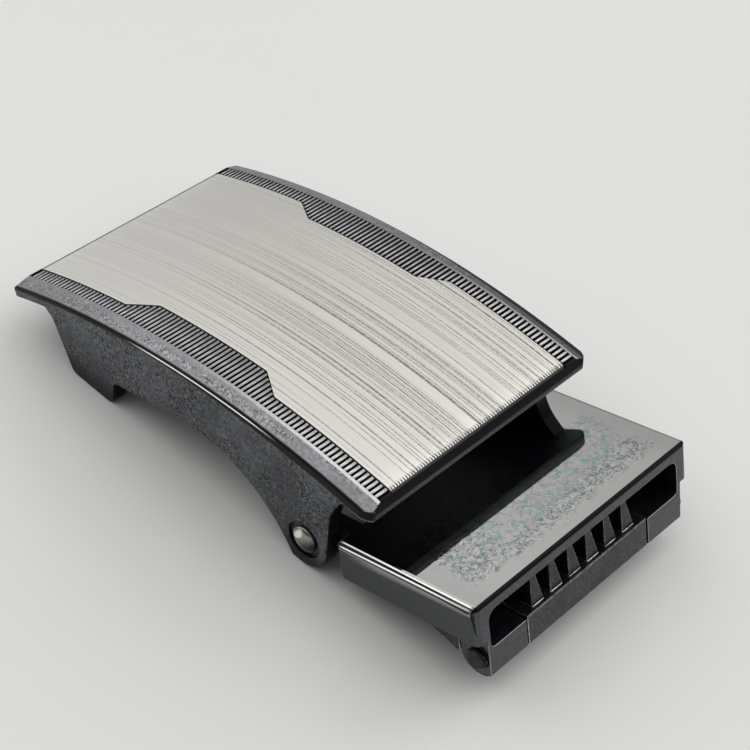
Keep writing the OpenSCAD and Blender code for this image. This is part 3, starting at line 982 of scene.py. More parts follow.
@dataclass(frozen=True)
class WallPlating(Finish):
    """Side walls of the clamp box: plating painted dark as shade, with a painted reflection as a
    pale band under the edge that fades to dark.
    """

    place: BoxPlace
    dark: Colour = (0.064, 0.068, 0.074)
    pale: Colour = (0.40, 0.395, 0.365)
    band_up: float = 1.35
    band_rear: float = 1.35
    band_mouth: float = 0.5
    fade_from: float = 6.0
    fade_to: float = 26.5

    def look(self, graph: ShaderGraph, where: Signal) -> dict[str, Any]:
        """Lays out the painted reflection band over faintly mottled plating that is painted dark
        as shade.

        Args:
            graph: The material's graph.
            where: The position, in millimetres.

        Returns:
            The shader's inputs by name.
        """
        along = graph.ramp(self.place.along(graph, where), self.fade_from, self.fade_to,
                           smooth=False)
        depth = self.band_up - self.place.above(graph, where)
        reach = graph.blend(along, self.band_rear, self.band_mouth)
        # painted reflection: a pale band under the edge
        pale = graph.ramp(depth / reach, 1.0, 0.1) * (graph.ramp(along, -0.02, 0.34) * 0.85)
        mottle = SurfaceEffects.cast_mottle(graph, where, patch=0.35)
        # painted shade: the plating is coloured dark under a faint mottle
        base = graph.mix(mottle["Mask"] * 0.35, self.dark, shaded(self.dark, 1.9))
        return {"Base Color": graph.mix(pale, base, self.pale), "Metallic": 0.8,
                "Roughness": 0.28, "Normal": graph.bump(mottle["Height"], 0.06, 0.02)}


@dataclass(frozen=True)
class EdgeGleam(Finish):
    """Painted highlight on the rounded edges of a dark piece."""

    bright: Colour
    roughness: float = 0.22

    def look(self, graph: ShaderGraph, where: Signal) -> dict[str, Any]:
        """Lays out the painted highlight, with dull places.

        Args:
            graph: The material's graph.
            where: The position, in millimetres.

        Returns:
            The shader's inputs by name.
        """
        # painted highlight: bright metal colour on the edge roundings, dull in places
        wear_and_sheen = graph.ramp(graph.noise(where, 0.9, 3.0, 0.6), 0.35, 0.62)
        return {"Base Color": graph.mix(wear_and_sheen, shaded(self.bright, 0.35), self.bright),
                "Metallic": 0.9, "Roughness": self.roughness}


@dataclass(frozen=True)
class MouthPlating(MottledCasting):
    """Frame round the box's mouth, with a painted black reflection along the top where the lip
    turns over.
    """

    place: BoxPlace = BoxPlace(0.0, 0.0, 0.0)
    lip_up: float = 0.0
    turn_from: float = 0.58
    turn_full: float = 0.46
    black: Colour = (0.005, 0.005, 0.006)

    def look(self, graph: ShaderGraph, where: Signal) -> dict[str, Any]:
        """Lays out the mottled frame with its painted black reflection along the top.

        Args:
            graph: The material's graph.
            where: The position, in millimetres.

        Returns:
            The shader's inputs by name.
        """
        base = super().look(graph, where)
        # painted reflection: black where the lip turns over
        turned = graph.ramp(self.place.above(graph, where), self.lip_up - self.turn_from,
                            self.lip_up - self.turn_full)
        return {**base, "Base Color": graph.mix(turned, base["Base Color"], self.black)}


@dataclass(frozen=True)
class MouthGleam(Finish):
    """Edges round the box's mouth: painted dark reflection, with a glowing painted highlight
    along the near half of the upper lip.
    """

    place: BoxPlace
    lip_up: float
    line_from: float = 0.10
    line_full: float = 0.03
    inside: float = 1.5
    inside_y: float = 18.9
    glow: float = 0.25
    dark: Colour = (0.004, 0.004, 0.005)
    inner: Colour = (0.34, 0.34, 0.35)
    bright: Colour = (0.95, 0.95, 0.92)

    def look(self, graph: ShaderGraph, where: Signal) -> dict[str, Any]:
        """Lays out the painted highlight line on the lip and the grey painted highlight on the
        edges inside the mouth.

        Args:
            graph: The material's graph.
            where: The position, in millimetres.

        Returns:
            The shader's inputs by name.
        """
        across = graph.dot(where, ACROSS)
        above = self.place.above(graph, where)
        # painted highlight: a glowing line on the near half of the lip
        near = graph.ramp(across, 14.0, -8.0) * graph.ramp(across, -19.2, -18.4)
        line = near * graph.ramp(above, self.lip_up - self.line_from,
                                 self.lip_up - self.line_full)
        inside = self.lip_up - self.inside
        opening = (graph.ramp(above, inside, inside - 0.1)
                   * graph.ramp(abs(across), self.inside_y, self.inside_y - 0.1))
        # painted highlight: grey on the edges inside the mouth, painted dark reflection elsewhere
        colour = graph.mix(opening, self.dark, self.inner)
        return {"Base Color": graph.mix(line, colour, self.bright),
                "Metallic": graph.blend(line, 0.9, 0.0),
                "Roughness": graph.blend(line, 0.25, 0.5),
                "Emission Color": self.bright, "Emission Strength": line * self.glow}


@dataclass(frozen=True)
class PlainPlating(Finish):
    """Simple plating with a little cloud and grain, for pins, rivets and hidden faces."""

    base: Colour
    cloud: Colour
    metallic: float = 0.9
    roughness: float = 0.3
    grain: float = 1.2
    specular: float = 0.5

    def look(self, graph: ShaderGraph, where: Signal) -> dict[str, Any]:
        """Lays out the clouds of the plating and its fine grain.

        Args:
            graph: The material's graph.
            where: The position, in millimetres.

        Returns:
            The shader's inputs by name.
        """
        cloud = graph.noise(where, self.grain, 3.0, 0.6, 0.6)
        return {"Base Color": graph.mix(graph.ramp(cloud, 0.38, 0.66), self.base, self.cloud),
                "Metallic": self.metallic, "Specular IOR Level": self.specular,
                "Roughness": graph.blend(graph.ramp(cloud, 0.3, 0.7), self.roughness,
                                         self.roughness + 0.12),
                "Normal": graph.bump(graph.noise(where, 6.0, 3.0, 0.6), 0.12, 0.02)}


@dataclass(frozen=True)
class RivetDome(Finish):
    """Polished rivet head with a painted highlight towards the crown and the tail, and painted
    shade below.
    """

    axis_x: float
    axis_z: float
    base: Colour = (0.30, 0.31, 0.28)
    bright: Colour = (0.97, 0.97, 0.94)
    dark: Colour = (0.03, 0.032, 0.03)
    lean: tuple[float, float] = (0.69, 0.72)

    def look(self, graph: ShaderGraph, where: Signal) -> dict[str, Any]:
        """Lays out the painted highlight crescent and the painted shade at the foot, with swaying
        edges.

        Args:
            graph: The material's graph.
            where: The position, in millimetres.

        Returns:
            The shader's inputs by name.
        """
        rise, run = self.lean
        toward = graph.dot(where, (-run, 0.0, rise)) - (rise * self.axis_z - run * self.axis_x)
        aside = graph.dot(where, (rise, 0.0, run)) - (rise * self.axis_x + run * self.axis_z)
        cloud = graph.noise(where, 1.4, 3.0, 0.6, 0.8)
        sway = (cloud - 0.5) * 1.1 + toward
        # painted shade: dark towards the foot
        colour = graph.mix(graph.ramp(sway, 0.4, -1.1), self.base, self.dark)
        # painted highlight: a bright crescent
        crescent = (graph.stripe(sway, 0.70, 1.40, 0.16)
                    * graph.stripe(aside, -0.95, 0.75, 0.3))
        return {"Base Color": graph.mix(crescent, colour, self.bright),
                "Metallic": graph.blend(crescent, 0.92, 0.2), "Roughness": 0.14}


@dataclass(frozen=True)
class PaleFloor(Finish):
    """Pale matt floor with faint wide clouds."""

    colour: Colour
    cloud: float = 0.985

    def look(self, graph: ShaderGraph, where: Signal) -> dict[str, Any]:
        """Lays out the clouds.

        Args:
            graph: The material's graph.
            where: The position, in millimetres.

        Returns:
            The shader's inputs by name.
        """
        shade = graph.ramp(graph.noise(where, 0.009, 3.0, 0.5), 0.3, 0.7)
        return {"Base Color": graph.mix(shade, self.colour, shaded(self.colour, self.cloud)),
                "Roughness": 0.62, "Specular IOR Level": 0.2}


# Mesh helpers


def add_object(name: str, data: bpy.types.ID) -> bpy.types.Object:
    """Puts a new object into the scene.

    Args:
        name: Name of the object.
        data: Its mesh, camera or light.

    Returns:
        The object, at the origin.
    """
    made = bpy.data.objects.new(name, data)
    bpy.context.scene.collection.objects.link(made)
    return made


def merged_copy(node: bpy.types.Object, name: str) -> bpy.types.Object:
    """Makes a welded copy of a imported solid, with its flat faces whole.

    Args:
        node: The solid's own object, which is left alone.
        name: Name of the new piece.

    Returns:
        The new piece, at the origin.
    """
    mesh = node.data.copy()
    mesh.name = name
    mesh.materials.clear()
    leftover = mesh.attributes.get("custom_normal")
    if leftover:
        mesh.attributes.remove(leftover)
    work = bmesh.new()
    work.from_mesh(mesh)
    bmesh.ops.remove_doubles(work, verts=work.verts, dist=WELD_MM * MM)
    bmesh.ops.dissolve_limit(work, angle_limit=math.radians(FLAT_DEG), verts=work.verts,
                             edges=work.edges, use_dissolve_boundaries=False)
    for face in work.faces:
        face.smooth = True
    work.to_mesh(mesh)
    work.free()
    return add_object(name, mesh)


def soften_edges(piece: bpy.types.Object, width_mm: float, angle_deg: float,
                 share: Callable[[Vector], float] | None = None, segments: int = 2,
                 gleam: int = -1) -> None:
    """Rounds the sharp edges of a piece, and evens its shading.

    Args:
        piece: The mesh object.
        width_mm: Width of the rounding.
        angle_deg: Edges sharper than this are rounded.
        share: Share of the width that an edge gets, from its middle in millimetres; all
            edges get the whole width without it.
        segments: Steps of the rounding.
        gleam: Material slot of the rounding, or -1 for that of the faces beside it.
    """
    work = bmesh.new()
    work.from_mesh(piece.data)
    layers = work.edges.layers.float
    layer = layers.get("bevel_weight_edge") or layers.new("bevel_weight_edge")
    limit = math.radians(angle_deg)
    for edge in work.edges:
        if len(edge.link_faces) == 2 and edge.calc_face_angle(0.0) >= limit:
            middle = (edge.verts[0].co + edge.verts[1].co) / 2 / MM
            edge[layer] = share(middle) if share else 1.0
    work.to_mesh(piece.data)
    work.free()
    rounding = piece.modifiers.new("edge_rounding", "BEVEL")
    rounding.limit_method = "WEIGHT"
    rounding.width = width_mm * MM
    rounding.segments = segments
    rounding.use_clamp_overlap = False
    rounding.miter_outer = "MITER_ARC"
    rounding.harden_normals = False
    rounding.material = gleam
    piece.data.set_sharp_from_angle(angle=math.radians(SHARP_DEG))
    even = piece.modifiers.new("even_shading", "WEIGHTED_NORMAL")
    even.keep_sharp = True
    even.weight = EVEN_WEIGHT


def dress(piece: bpy.types.Object, finishes: dict[Zone, Finish],
          zone_of: Callable[[Vector, Vector], Zone]) -> None:
    """Gives each face of a piece the finish of its zone.

    Args:
        piece: The mesh object.
        finishes: Finish of each zone.
        zone_of: Names the zone of a face from its middle in millimetres and its normal.
    """
    for finish in finishes.values():
        piece.data.materials.append(finish.build())
    order = list(finishes)
    for face in piece.data.polygons:
        face.material_index = order.index(zone_of(face.center / MM, face.normal))


def settle(piece: bpy.types.Object, body: str,
           node: str = "") -> tuple[bpy.types.Object, str]:
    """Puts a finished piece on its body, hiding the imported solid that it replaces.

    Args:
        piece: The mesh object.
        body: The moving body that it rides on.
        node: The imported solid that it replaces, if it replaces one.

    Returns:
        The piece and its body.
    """
    if node:
        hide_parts(node)
    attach(piece, body)
    return piece, body


# Face casting


@dataclass
class RibRow:
    """One row of cast ribs beside the satin panel, made by Geometry Nodes."""

    side: Side
    crown: CrownPlace
    pitch_deg: float
    plate_len: float
    end_bevel: float
    rib_pitch: float = 0.712
    outer_y: float = 17.74
    end_y: float = 15.84
    waist_y: float = 13.34
    waist_tail: float = 14.4
    waist_mouth: float = 12.4
    slope: float = 3.8
    half_width: float = 0.285
    height: float = 0.355
    base_drop: float = 0.375
    squareness: float = 2.6
    steps: int = 10

    @property
    def step_angle(self) -> float:
        """Angle from one rib to the next, about the crown's centre, in radians."""
        return self.rib_pitch / self.crown.radius

    @property
    def count(self) -> int:
        """Number of ribs in the row."""
        half = math.asin(self.plate_len / 2 / self.crown.radius)
        return math.floor(2 * (half - self.end_bevel / self.crown.radius) / self.step_angle) - 1

    def _one_rib(self) -> bpy.types.Object:
        """Builds one rib of unit length across, with a round crest and closed ends.

        Returns:
            The rib's object, from which the row is made.
        """
        power = 2 / self.squareness
        turns = [math.pi * i / self.steps for i in range(self.steps + 1)]
        section = [(math.copysign(abs(math.cos(turn)) ** power, math.cos(turn))
                    * self.half_width * MM,
                    abs(math.sin(turn)) ** power * self.height * MM) for turn in turns]
        work = bmesh.new()
        ends = [[work.verts.new((x, y, z)) for x, z in section] for y in (0.0, MM)]
        for i in range(self.steps):
            work.faces.new((ends[0][i], ends[0][i + 1], ends[1][i + 1], ends[1][i]))
        work.faces.new((ends[0][0], ends[1][0], ends[1][-1], ends[0][-1]))
        work.faces.new(ends[0][::-1])
        work.faces.new(ends[1])
        bmesh.ops.recalc_face_normals(work, faces=work.faces)
        for face in work.faces:
            face.smooth = len(face.verts) == 4
        mesh = bpy.data.meshes.new(f"ribs_{self.side.name.lower()}")
        work.to_mesh(mesh)
        work.free()
        return add_object(mesh.name, mesh)

    def _sizes(self, finish: bpy.types.Material) -> dict[str, Any]:
        """Gives the values of the node tree's inputs, in metres and radians.

        Args:
            finish: Material of the ribs.

        Returns:
            The values, by the input's name.
        """
        return {"Count": self.count, "Step": self.step_angle,
                "Pitch": math.radians(self.pitch_deg),
                "Radius": (self.crown.radius - self.base_drop) * MM,
                "Centre X": self.crown.x * MM, "Centre Z": self.crown.z * MM,
                "Outer Y": self.outer_y * MM, "End Y": self.end_y * MM,
                "Waist Y": self.waist_y * MM, "Waist Tail": self.waist_tail * MM,
                "Waist Mouth": self.waist_mouth * MM, "Slope": self.slope * MM,
                "Side": float(self.side.value), "Finish": finish}

    def _tree(self, sizes: dict[str, Any]) -> bpy.types.NodeTree:
        """Builds the node tree that sets the ribs along the crown.

        Args:
            sizes: The values that its inputs will get, by name.

        Returns:
            The tree, with a named input for each size.
        """
        tree = bpy.data.node_groups.new(f"rib_row_{self.side.name.lower()}", "GeometryNodeTree")
        kinds = {int: "NodeSocketInt", float: "NodeSocketFloat",
                 bpy.types.Material: "NodeSocketMaterial"}
        tree.interface.new_socket("Rib", in_out="INPUT", socket_type="NodeSocketGeometry")
        for label, value in sizes.items():
            tree.interface.new_socket(label, in_out="INPUT", socket_type=kinds[type(value)])
        tree.interface.new_socket("Row", in_out="OUTPUT", socket_type="NodeSocketGeometry")
        graph = ShaderGraph(tree)
        given = {socket.name: Signal(graph, socket)
                 for socket in graph.add("NodeGroupInput").outputs}
        outer, end, radius = given["Outer Y"], given["End Y"], given["Radius"]
        middle = (given["Count"] - 1.0) / 2.0
        plan = (graph.put("GeometryNodeInputIndex") - middle) * given["Step"]
        turn = plan - given["Pitch"]
        along = graph.math("SINE", plan) * radius
        rise = (along + given["Waist Tail"]) / given["Slope"]
        fall = (given["Waist Mouth"] - along) / given["Slope"]
        waist = graph.math("MINIMUM", graph.math("MINIMUM", rise, fall), 1.0)
        waist = graph.math("MAXIMUM", waist, 0.0)
        inner = end - waist * (end - given["Waist Y"])
        start = (inner - outer) / 2.0 + given["Side"] * ((inner + outer) / 2.0)
        spot = graph.join(given["Centre X"] + graph.math("SINE", turn) * radius, start,
                          given["Centre Z"] + graph.math("COSINE", turn) * radius)
        points = graph.put("GeometryNodeMeshLine", {"Count": given["Count"]})
        points = graph.put("GeometryNodeSetPosition", {"Geometry": points, "Position": spot})
        ribs = graph.put("GeometryNodeInstanceOnPoints", {
            "Points": points, "Instance": given["Rib"],
            "Rotation": graph.join(0.0, turn, 0.0),
            "Scale": graph.join(1.0, (outer - inner) / MM, 1.0)})
        ribs = graph.put("GeometryNodeRealizeInstances", {0: ribs})
        ribs = graph.put("GeometryNodeSetMaterial", {"Geometry": ribs,
                                                     "Material": given["Finish"]})
        graph.add("NodeGroupOutput", {"Row": ribs})
        return tree

    def build(self, finish: bpy.types.Material) -> bpy.types.Object:
        """Builds the row as one plain mesh.

        Args:
            finish: Material of the ribs.

        Returns:
            The finished piece.
        """
        rib = self._one_rib()
        rib.data.materials.append(finish)
        sizes = self._sizes(finish)
        tree = self._tree(sizes)
        modifier = rib.modifiers.new("rib_row", "NODES")
        modifier.node_group = tree
        for item in tree.interface.items_tree:
            if item.in_out == "INPUT" and item.name in sizes:
                modifier[item.identifier] = sizes[item.name]
        rib.update_tag()
        depsgraph = bpy.context.evaluated_depsgraph_get()
        mesh = bpy.data.meshes.new_from_object(rib.evaluated_get(depsgraph),
                                               depsgraph=depsgraph)
        name = rib.name
        bpy.data.objects.remove(rib)
        mesh.name = name
        return add_object(name, mesh)


@dataclass
class FaceCasting:
    """The crowned plate with its cheeks, ribs and satin panel."""

    hinge_x: float
    crown_back: float = 23.05
    crown_height: float = 16.05
    pitch_deg: float = 8.3
    radius: float = 131.7
    plate_len: float = 64.4
    thickness: float = 2.1
    half_width: float = 20.0
    bevel_w: float = 2.24
    bevel_drop: float = 0.74
    end_bevel: float = 0.7
    recess_drop: float = 0.95
    rib_drop: float = 0.5
    tail_y: float = 15.9
    band_y: float = 17.8
    cheek_y: float = 19.0
    cheek_round: float = 0.22
    panel_round: float = 0.05

    @property
    def crown(self) -> CrownPlace:
        """Where the crown's centre of curvature lies."""
        pitch = math.radians(self.pitch_deg)
        return CrownPlace(self.hinge_x - self.crown_back + self.radius * math.sin(pitch),
                          self.crown_height - self.radius * math.cos(pitch), self.radius)

    def _rounding(self, at: Vector) -> float:
        """Share of the rounding that an edge gets: full on the cheeks' outside only."""
        return float(abs(at.y) > self.half_width - 0.1
                     and self.crown.drop_of(at) > self.thickness + 0.15)

    def zone(self, at: Vector, normal: Vector) -> Zone:
        """Names the zone of one face of the casting.

        Args:
            at: Middle of the face, in millimetres.
            normal: The face's normal.

        Returns:
            The zone.
        """
        crown = self.crown
        drop = crown.drop_of(at)
        side = abs(at.y)
        x, z = at.x - crown.x, at.z - crown.z
        outward = Vector((x, 0.0, z)).normalized().dot(normal)
        if side > self.half_width - self.bevel_w - 0.06 and drop < self.thickness - 0.02:
            if outward >= 0.86 and drop < self.bevel_drop + 0.05:
                return Zone.BEVEL
            return Zone.CAST if abs(normal.y) > 0.2 else Zone.END
        reach = self.radius * (math.atan2(x, z) + math.radians(self.pitch_deg))
        if reach < 1.0 - self.plate_len / 2 and side < self.tail_y and outward > -0.5:
            return Zone.TAIL
        if drop < self.recess_drop and (outward > 0.15 or drop < 0.6):
            return Zone.RIB if drop < self.rib_drop else Zone.RECESS
        if drop < self.thickness - 0.02 and abs(normal.y) < 0.6 and outward > -0.5:
            return Zone.TAIL if x < 0 else Zone.END
        if abs(normal.y) > 0.9 and side > self.cheek_y:
            return Zone.CAST
        if outward < -0.8 and drop < self.thickness + 0.1:
            return Zone.HIDDEN
        return Zone.END if side > self.band_y else Zone.HIDDEN

    def _finishes(self) -> dict[Zone, Finish]:
        """Gives the finish of each zone of the casting.

        Returns:
            The finishes, by zone.
        """
        return {
            Zone.CAST: CheekCasting(
                "gunmetal_cheek", (0.036, 0.039, 0.046), (0.25, 0.256, 0.275),
                (0.07, 0.17, 0.175), (0.17, 0.10, 0.125), bump=0.45, worms=1.0,
                fineness=2.0, specular=0.12, crown=self.crown),
            Zone.BEVEL: BevelCasting(
                "gunmetal_bevel", (0.19, 0.19, 0.20), (0.375, 0.375, 0.39),
                (0.20, 0.28, 0.28), (0.30, 0.24, 0.27), roughness=0.28, bump=0.35,
                patch=0.46, tint=0.3, worms=0.85, fineness=2.2, specular=0.12,
                worm_pale=(0.45, 0.45, 0.46), crown=self.crown),
            # painted shade: the cast grooves between the ribs are all black
            Zone.RIB: RibSteel("rib_groove", self.crown, crest=-0.4, root=-0.3),
            # painted shade: the recess is near black
            Zone.RECESS: PlainPlating(
                "recess_painted_shade", (0.006, 0.006, 0.007), (0.012, 0.012, 0.014),
                metallic=0.3, roughness=0.5),
            Zone.END: MottledCasting(
                "gunmetal_end", (0.006, 0.006, 0.007), (0.016, 0.016, 0.018),
                (0.01, 0.016, 0.016), (0.016, 0.01, 0.012), metallic=0.1,
                roughness=0.20, bump=0.05, specular=0.12),
            Zone.TAIL: PlainPlating(
                "tail_edge", (0.30, 0.30, 0.305), (0.40, 0.40, 0.40), metallic=0.4,
                roughness=0.35),
            # painted shade: the hidden underside and inner faces are near black
            Zone.HIDDEN: PlainPlating(
                "inner_painted_shade", (0.003, 0.0045, 0.010), (0.006, 0.008, 0.014),
                metallic=0.0, roughness=0.45, specular=0.12)}

    def build(self, nodes: dict[str, bpy.types.Object]) -> Pieces:
        """Builds the casting, its two rows of ribs and the panel.

        Args:
            nodes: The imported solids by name.

        Returns:
            Each piece and its body.
        """
        body = merged_copy(nodes["face_frame"], "face_casting")
        soften_edges(body, self.cheek_round, 50.0, self._rounding, segments=3)
        dress(body, self._finishes(), self.zone)
        pieces = [settle(body, "frame", "face_frame")]
        crest = RibSteel("rib_crest", self.crown).build()
        for side in Side:
            row = RibRow(side, self.crown, self.pitch_deg, self.plate_len, self.end_bevel)
            pieces.append(settle(row.build(crest), "frame"))
        panel = merged_copy(nodes["satin_panel"], "satin_plate")
        soften_edges(panel, self.panel_round, 40.0)
        low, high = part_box("satin_panel")
        panel.data.materials.append(SatinSteel("satin_steel", low[0] / MM, high[0] / MM).build())
        pieces.append(settle(panel, "frame", "satin_panel"))
        return pieces


# Clamp box


@dataclass
class ClampBox:
    """The hinged box that takes the strap's cut end, with its pin."""

    place: BoxPlace
    top_up: float = 2.2
    width: float = 39.5
    edge_r: float = 0.9
    rear_x: float = 5.6
    mouth_x: float = 27.1
    top_t: float = 1.7
    round_from: float = 24.0
    mouth_round: float = 0.26
    inner_share: float = 0.27
    lip_depth: float = 1.5
    ear_y: float = 18.0
    pin_round: float = 0.06

    def _own(self, at: Vector) -> tuple[float, float]:
        """Turns a place into the box's own distance to the mouth and height."""
        return self.place.turned(at.x - self.place.hinge_x, at.z - self.place.hinge_z)

    def _rounding(self, at: Vector) -> float:
        """Gives the share of the rounding: full round the mouth's outside, little within.

        Args:
            at: Middle of the edge, in millimetres.

        Returns:
            The share, from 0 to 1.
        """
        along, up = self._own(at)
        if along < self.round_from:
            return 0.0
        outside = up > self.top_up - self.edge_r - 0.05 or abs(at.y) > self.width / 2 - 0.3
        return 1.0 if outside and along > self.mouth_x - 0.2 else self.inner_share

    def zone(self, at: Vector, normal: Vector) -> Zone:
        """Names the zone of one face of the box.

        Args:
            at: Middle of the face, in millimetres.
            normal: The face's normal.

        Returns:
            The zone.
        """
        along, up = self._own(at)
        to_mouth, to_top = self.place.turned(normal.x, normal.z)
        half = self.width / 2
        roof = self.top_up - self.top_t
        if up > self.top_up - 0.02 and to_top > 0.98 and along > self.rear_x - 0.2:
            return Zone.TOP
        if (abs(at.y) > half - self.edge_r - 0.02 and up > self.top_up - self.edge_r - 0.02
                and abs(normal.y) > 0.1 and to_top > 0.02 and abs(to_mouth) < 0.6):
            return Zone.EDGE
        if abs(at.y) > half - 0.3 and abs(normal.y) > 0.8:
            return Zone.WALL
        facing_in = at.y * normal.y < 0 and abs(normal.y) > 0.3
        if facing_in or (up < roof and to_top > 0.3):
            return Zone.HIDDEN
        if along > self.mouth_x - self.lip_depth and to_mouth > 0.4:
            return Zone.MOUTH
        if abs(at.y) > self.ear_y:
            return Zone.MOUTH if up < roof else Zone.WALL
        return Zone.HIDDEN

    def _finishes(self) -> dict[Zone, Finish]:
        """Gives the finish of each zone of the box.

        Returns:
            The finishes, by zone.
        """
        return {
            Zone.TOP: MirrorPlating("mirror_top", self.place),
            Zone.EDGE: EdgeReflection(
                "edge_painted_reflection", self.place, self.width / 2 - self.edge_r,
                self.top_up - self.edge_r, self.rear_x, self.mouth_x),
            Zone.WALL: WallPlating("wall_plating", self.place),
            Zone.MOUTH: MouthPlating(
                "mouth_plating", (0.062, 0.066, 0.073), (0.118, 0.123, 0.132),
                (0.05, 0.075, 0.075), (0.07, 0.05, 0.06), roughness=0.16, bump=0.05,
                tint=0.2, place=self.place, lip_up=self.top_up),
            # painted shade: the inside of the box is near black
            Zone.HIDDEN: PlainPlating(
                "box_inside", (0.004, 0.0045, 0.007), (0.010, 0.010, 0.013),
                metallic=0.0, roughness=0.4, specular=0.15),
            Zone.GLEAM: MouthGleam("mouth_gleam", self.place, self.top_up)}

    def build(self, nodes: dict[str, bpy.types.Object]) -> Pieces:
        """Builds the box and its pin.

        Args:
            nodes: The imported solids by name.

        Returns:
            Each piece and its body.
        """
        finishes = self._finishes()
        body = merged_copy(nodes["clamp_box"], "clamp_case")
        soften_edges(body, self.mouth_round, 50.0, self._rounding, segments=3,
                     gleam=list(finishes).index(Zone.GLEAM))
        dress(body, finishes, self.zone)
        pin = merged_copy(nodes["flap_pin"], "flap_hinge_pin")
        soften_edges(pin, self.pin_round, 40.0)
        steel = PlainPlating("pin_steel", (0.022, 0.022, 0.024), (0.05, 0.05, 0.05),
                             metallic=0.9, roughness=0.12)
        pin.data.materials.append(steel.build())
        return [settle(body, "box", "clamp_box"),
                settle(pin, "box", "flap_pin")]


@dataclass
class ToothedFlap:
    """The flap whose teeth hold the strap in the mouth."""

    edge_round: float = 0.09
    edge_deg: float = 35.0

    def build(self, nodes: dict[str, bpy.types.Object]) -> Pieces:
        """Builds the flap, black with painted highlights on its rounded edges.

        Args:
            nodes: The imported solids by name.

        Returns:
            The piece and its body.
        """
        flap = merged_copy(nodes["toothed_flap"], "tooth_flap")
        soften_edges(flap, self.edge_round, self.edge_deg, gleam=1)
        black = MottledCasting(
            "black_flap", (0.034, 0.036, 0.039), (0.10, 0.103, 0.107), (0.06, 0.085, 0.085),
            (0.085, 0.065, 0.065), roughness=0.24, bump=0.12, tint=0.2)
        for finish in (black, EdgeGleam("flap_gleam", (0.50, 0.50, 0.50))):
            flap.data.materials.append(finish.build())
        return [settle(flap, "flap", "toothed_flap")]


@dataclass
class HingeParts:
    """Rivets of the hinge, and the pawl lever with its pin under the tail."""

    hinge_x: float
    hinge_z: float
    edge_round: float = 0.05
    edge_deg: float = 45.0

    def build(self, nodes: dict[str, bpy.types.Object]) -> Pieces:
        """Builds the rivets, the pawl and its pin.

        Args:
            nodes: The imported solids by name.

        Returns:
            Each piece and its body.
        """
        dome = RivetDome("rivet_dome", self.hinge_x, self.hinge_z).build()
        nickel = PlainPlating("rivet_nickel", (0.16, 0.165, 0.15), (0.24, 0.245, 0.225),
                              metallic=0.95, roughness=0.13, grain=0.6).build()
        black = MottledCasting("black_pawl", (0.03, 0.03, 0.033), (0.09, 0.09, 0.095),
                               (0.05, 0.07, 0.07), (0.07, 0.05, 0.06)).build()
        pieces = []
        for node, name, finish, slot, body in (
                ("hinge_rivet_near", "rivet_near", dome, "bright_steel", "frame"),
                ("hinge_rivet_far", "rivet_far", dome, "bright_steel", "frame"),
                ("pawl_pin", "pawl_hinge_pin", nickel, "bright_steel", "frame"),
                ("pawl_lever", "pawl", black, "black_steel", "pawl")):
            piece = merged_copy(nodes[node], name)
            soften_edges(piece, self.edge_round, self.edge_deg)
            piece.data.materials.append(finish)
            pieces.append(settle(piece, body, node))
        return pieces


# Studio


@dataclass(frozen=True)
class PhotoView:
    """Camera of the photograph, from a fit of the buckle's own edges."""

    eye: tuple[float, float, float] = (105.5045, -131.8056, 176.8039)
    right: tuple[float, float, float] = (0.720544, 0.685212, 0.106305)
    up: tuple[float, float, float] = (-0.541902, 0.460803, 0.702854)
    back: tuple[float, float, float] = (0.432618, -0.564044, 0.703346)
    lens: float = 90.356
    sensor: float = 36.0
    clip_m: tuple[float, float] = (0.01, 10.0)

    def build(self) -> None:
        """Makes the camera and looks through it."""
        data = bpy.data.cameras.new("photo_camera")
        data.lens = self.lens
        data.sensor_width = self.sensor
        data.sensor_fit = "HORIZONTAL"
        data.clip_start, data.clip_end = self.clip_m
        camera = add_object("photo_camera", data)
        turn = Matrix((self.right, self.up, self.back)).transposed().to_4x4()
        camera.matrix_world = Matrix.Translation(Vector(self.eye) * MM) @ turn
        bpy.context.scene.camera = camera


@dataclass(frozen=True)
class SkyLobe:
    """One soft patch of light in the surroundings, by its direction in degrees."""

    elevation: float
    azimuth: float
    strength: float
    power: float = 8.0

    @property
    def direction(self) -> Vector:
        """Direction of the patch's middle, as a unit vector."""
        rise, turn = math.radians(self.elevation), math.radians(self.azimuth)
        return Vector((math.cos(rise) * math.cos(turn), math.cos(rise) * math.sin(turn),
                       math.sin(rise)))


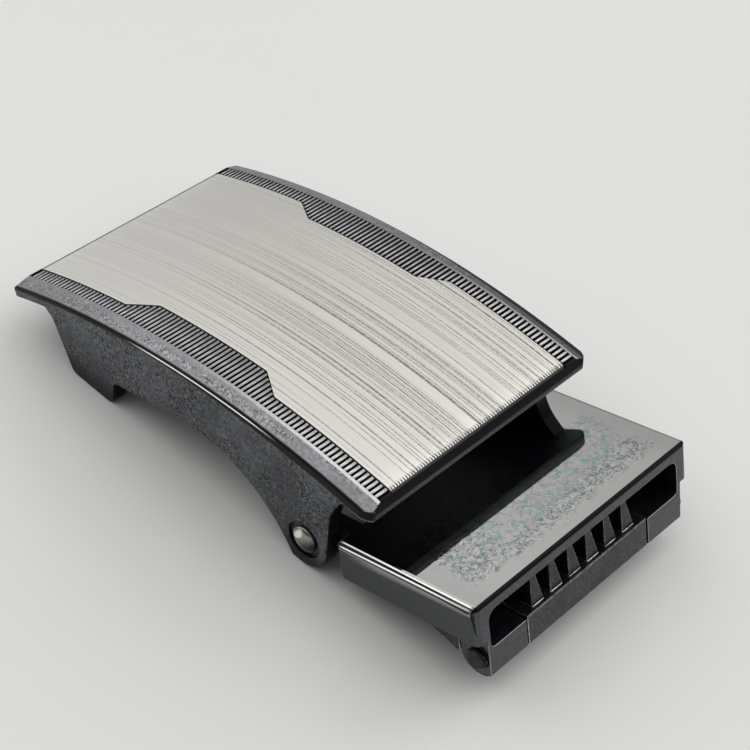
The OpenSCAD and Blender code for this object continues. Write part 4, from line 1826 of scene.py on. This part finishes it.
@dataclass
class Studio:
    """Pale floor and soft surroundings that light the buckle from every side."""

    floor_half: float = 1500.0
    floor_gap: float = 0.02
    floor_colour: Colour = (0.79, 0.80, 0.775)
    ambient: float = 0.131
    lobes: tuple[SkyLobe, ...] = (
        SkyLobe(90.0, 0.0, 0.249, 6.0), SkyLobe(50.0, 45.0, 1.24),
        SkyLobe(50.0, 180.0, 0.737), SkyLobe(50.0, 225.0, 0.98), SkyLobe(15.0, 90.0, 0.55),
        SkyLobe(15.0, 180.0, 1.154), SkyLobe(50.0, 95.0, 0.36, 5.0))
    low_light: SkyLobe = SkyLobe(17.0, 90.0, 1.15)
    low_light_angle: float = 60.0

    def _floor(self) -> None:
        """Makes the pale floor, a hair under the buckle's feet."""
        half, low = self.floor_half * MM, -self.floor_gap * MM
        corners = [(-half, -half, low), (half, -half, low), (half, half, low), (-half, half, low)]
        mesh = bpy.data.meshes.new("floor")
        mesh.from_pydata(corners, [], [(0, 1, 2, 3)])
        mesh.materials.append(PaleFloor("pale_floor", self.floor_colour).build())
        add_object("floor", mesh)

    def _surroundings(self) -> None:
        """Makes the surroundings: an even glow and a few soft patches of light."""
        world = bpy.data.worlds.new("soft_room")
        bpy.context.scene.world = world
        world.use_nodes = True
        world.node_tree.nodes.clear()
        graph = ShaderGraph(world.node_tree)
        where = graph.put("ShaderNodeTexCoord", output="Generated")
        level: Any = self.ambient
        for lobe in self.lobes:
            facing = graph.math("MAXIMUM", graph.dot(where, lobe.direction), 0.0)
            level = graph.math("POWER", facing, lobe.power) * lobe.strength + level
        glow = graph.put("ShaderNodeBackground", {"Color": (1.0, 1.0, 1.0), "Strength": level})
        graph.add("ShaderNodeOutputWorld", {"Surface": glow})

    def _low_light(self) -> None:
        """Makes the wide, soft low light that shades the near side of the floor."""
        light = bpy.data.lights.new("low_light", "SUN")
        light.energy = self.low_light.strength
        light.angle = math.radians(self.low_light_angle)
        lamp = add_object("low_light", light)
        lamp.rotation_euler = self.low_light.direction.to_track_quat("Z", "Y").to_euler()
        lamp.visible_glossy = False

    def build(self) -> None:
        """Builds the floor, the surroundings, the low light and the colour handling."""
        self._floor()
        self._surroundings()
        self._low_light()
        view = bpy.context.scene.view_settings
        view.view_transform = "Standard"
        view.look = "None"


# Main


def hinge_place(joints: Sequence[dict[str, Any]], name: str) -> tuple[float, float]:
    """Reads where a joint's axis lies.

    Args:
        joints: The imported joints.
        name: Name of the joint.

    Returns:
        X and Z of the axis, in millimetres.
    """
    found = next(joint for joint in joints if joint["name"] == name)
    return found["pos_m"][0] / MM, found["pos_m"][2] / MM


def main() -> None:
    """Builds the buckle's sub-assemblies in order and reports their pieces."""
    logging.basicConfig(level=logging.INFO, format="%(name)s: %(message)s")
    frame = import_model()
    hinge_x, hinge_z = hinge_place(frame["joints"], "box_hinge")
    PhotoView().build()
    for assembly in (FaceCasting(hinge_x), ClampBox(BoxPlace(hinge_x, hinge_z, BOX_TILT_DEG)),
                     ToothedFlap(), HingeParts(hinge_x, hinge_z)):
        for piece, body in assembly.build(frame["nodes"]):
            LOG.info("%s: %d faces, rides on %s", piece.name, len(piece.data.polygons), body)
    Studio().build()


if __name__ == "__main__":
    main()
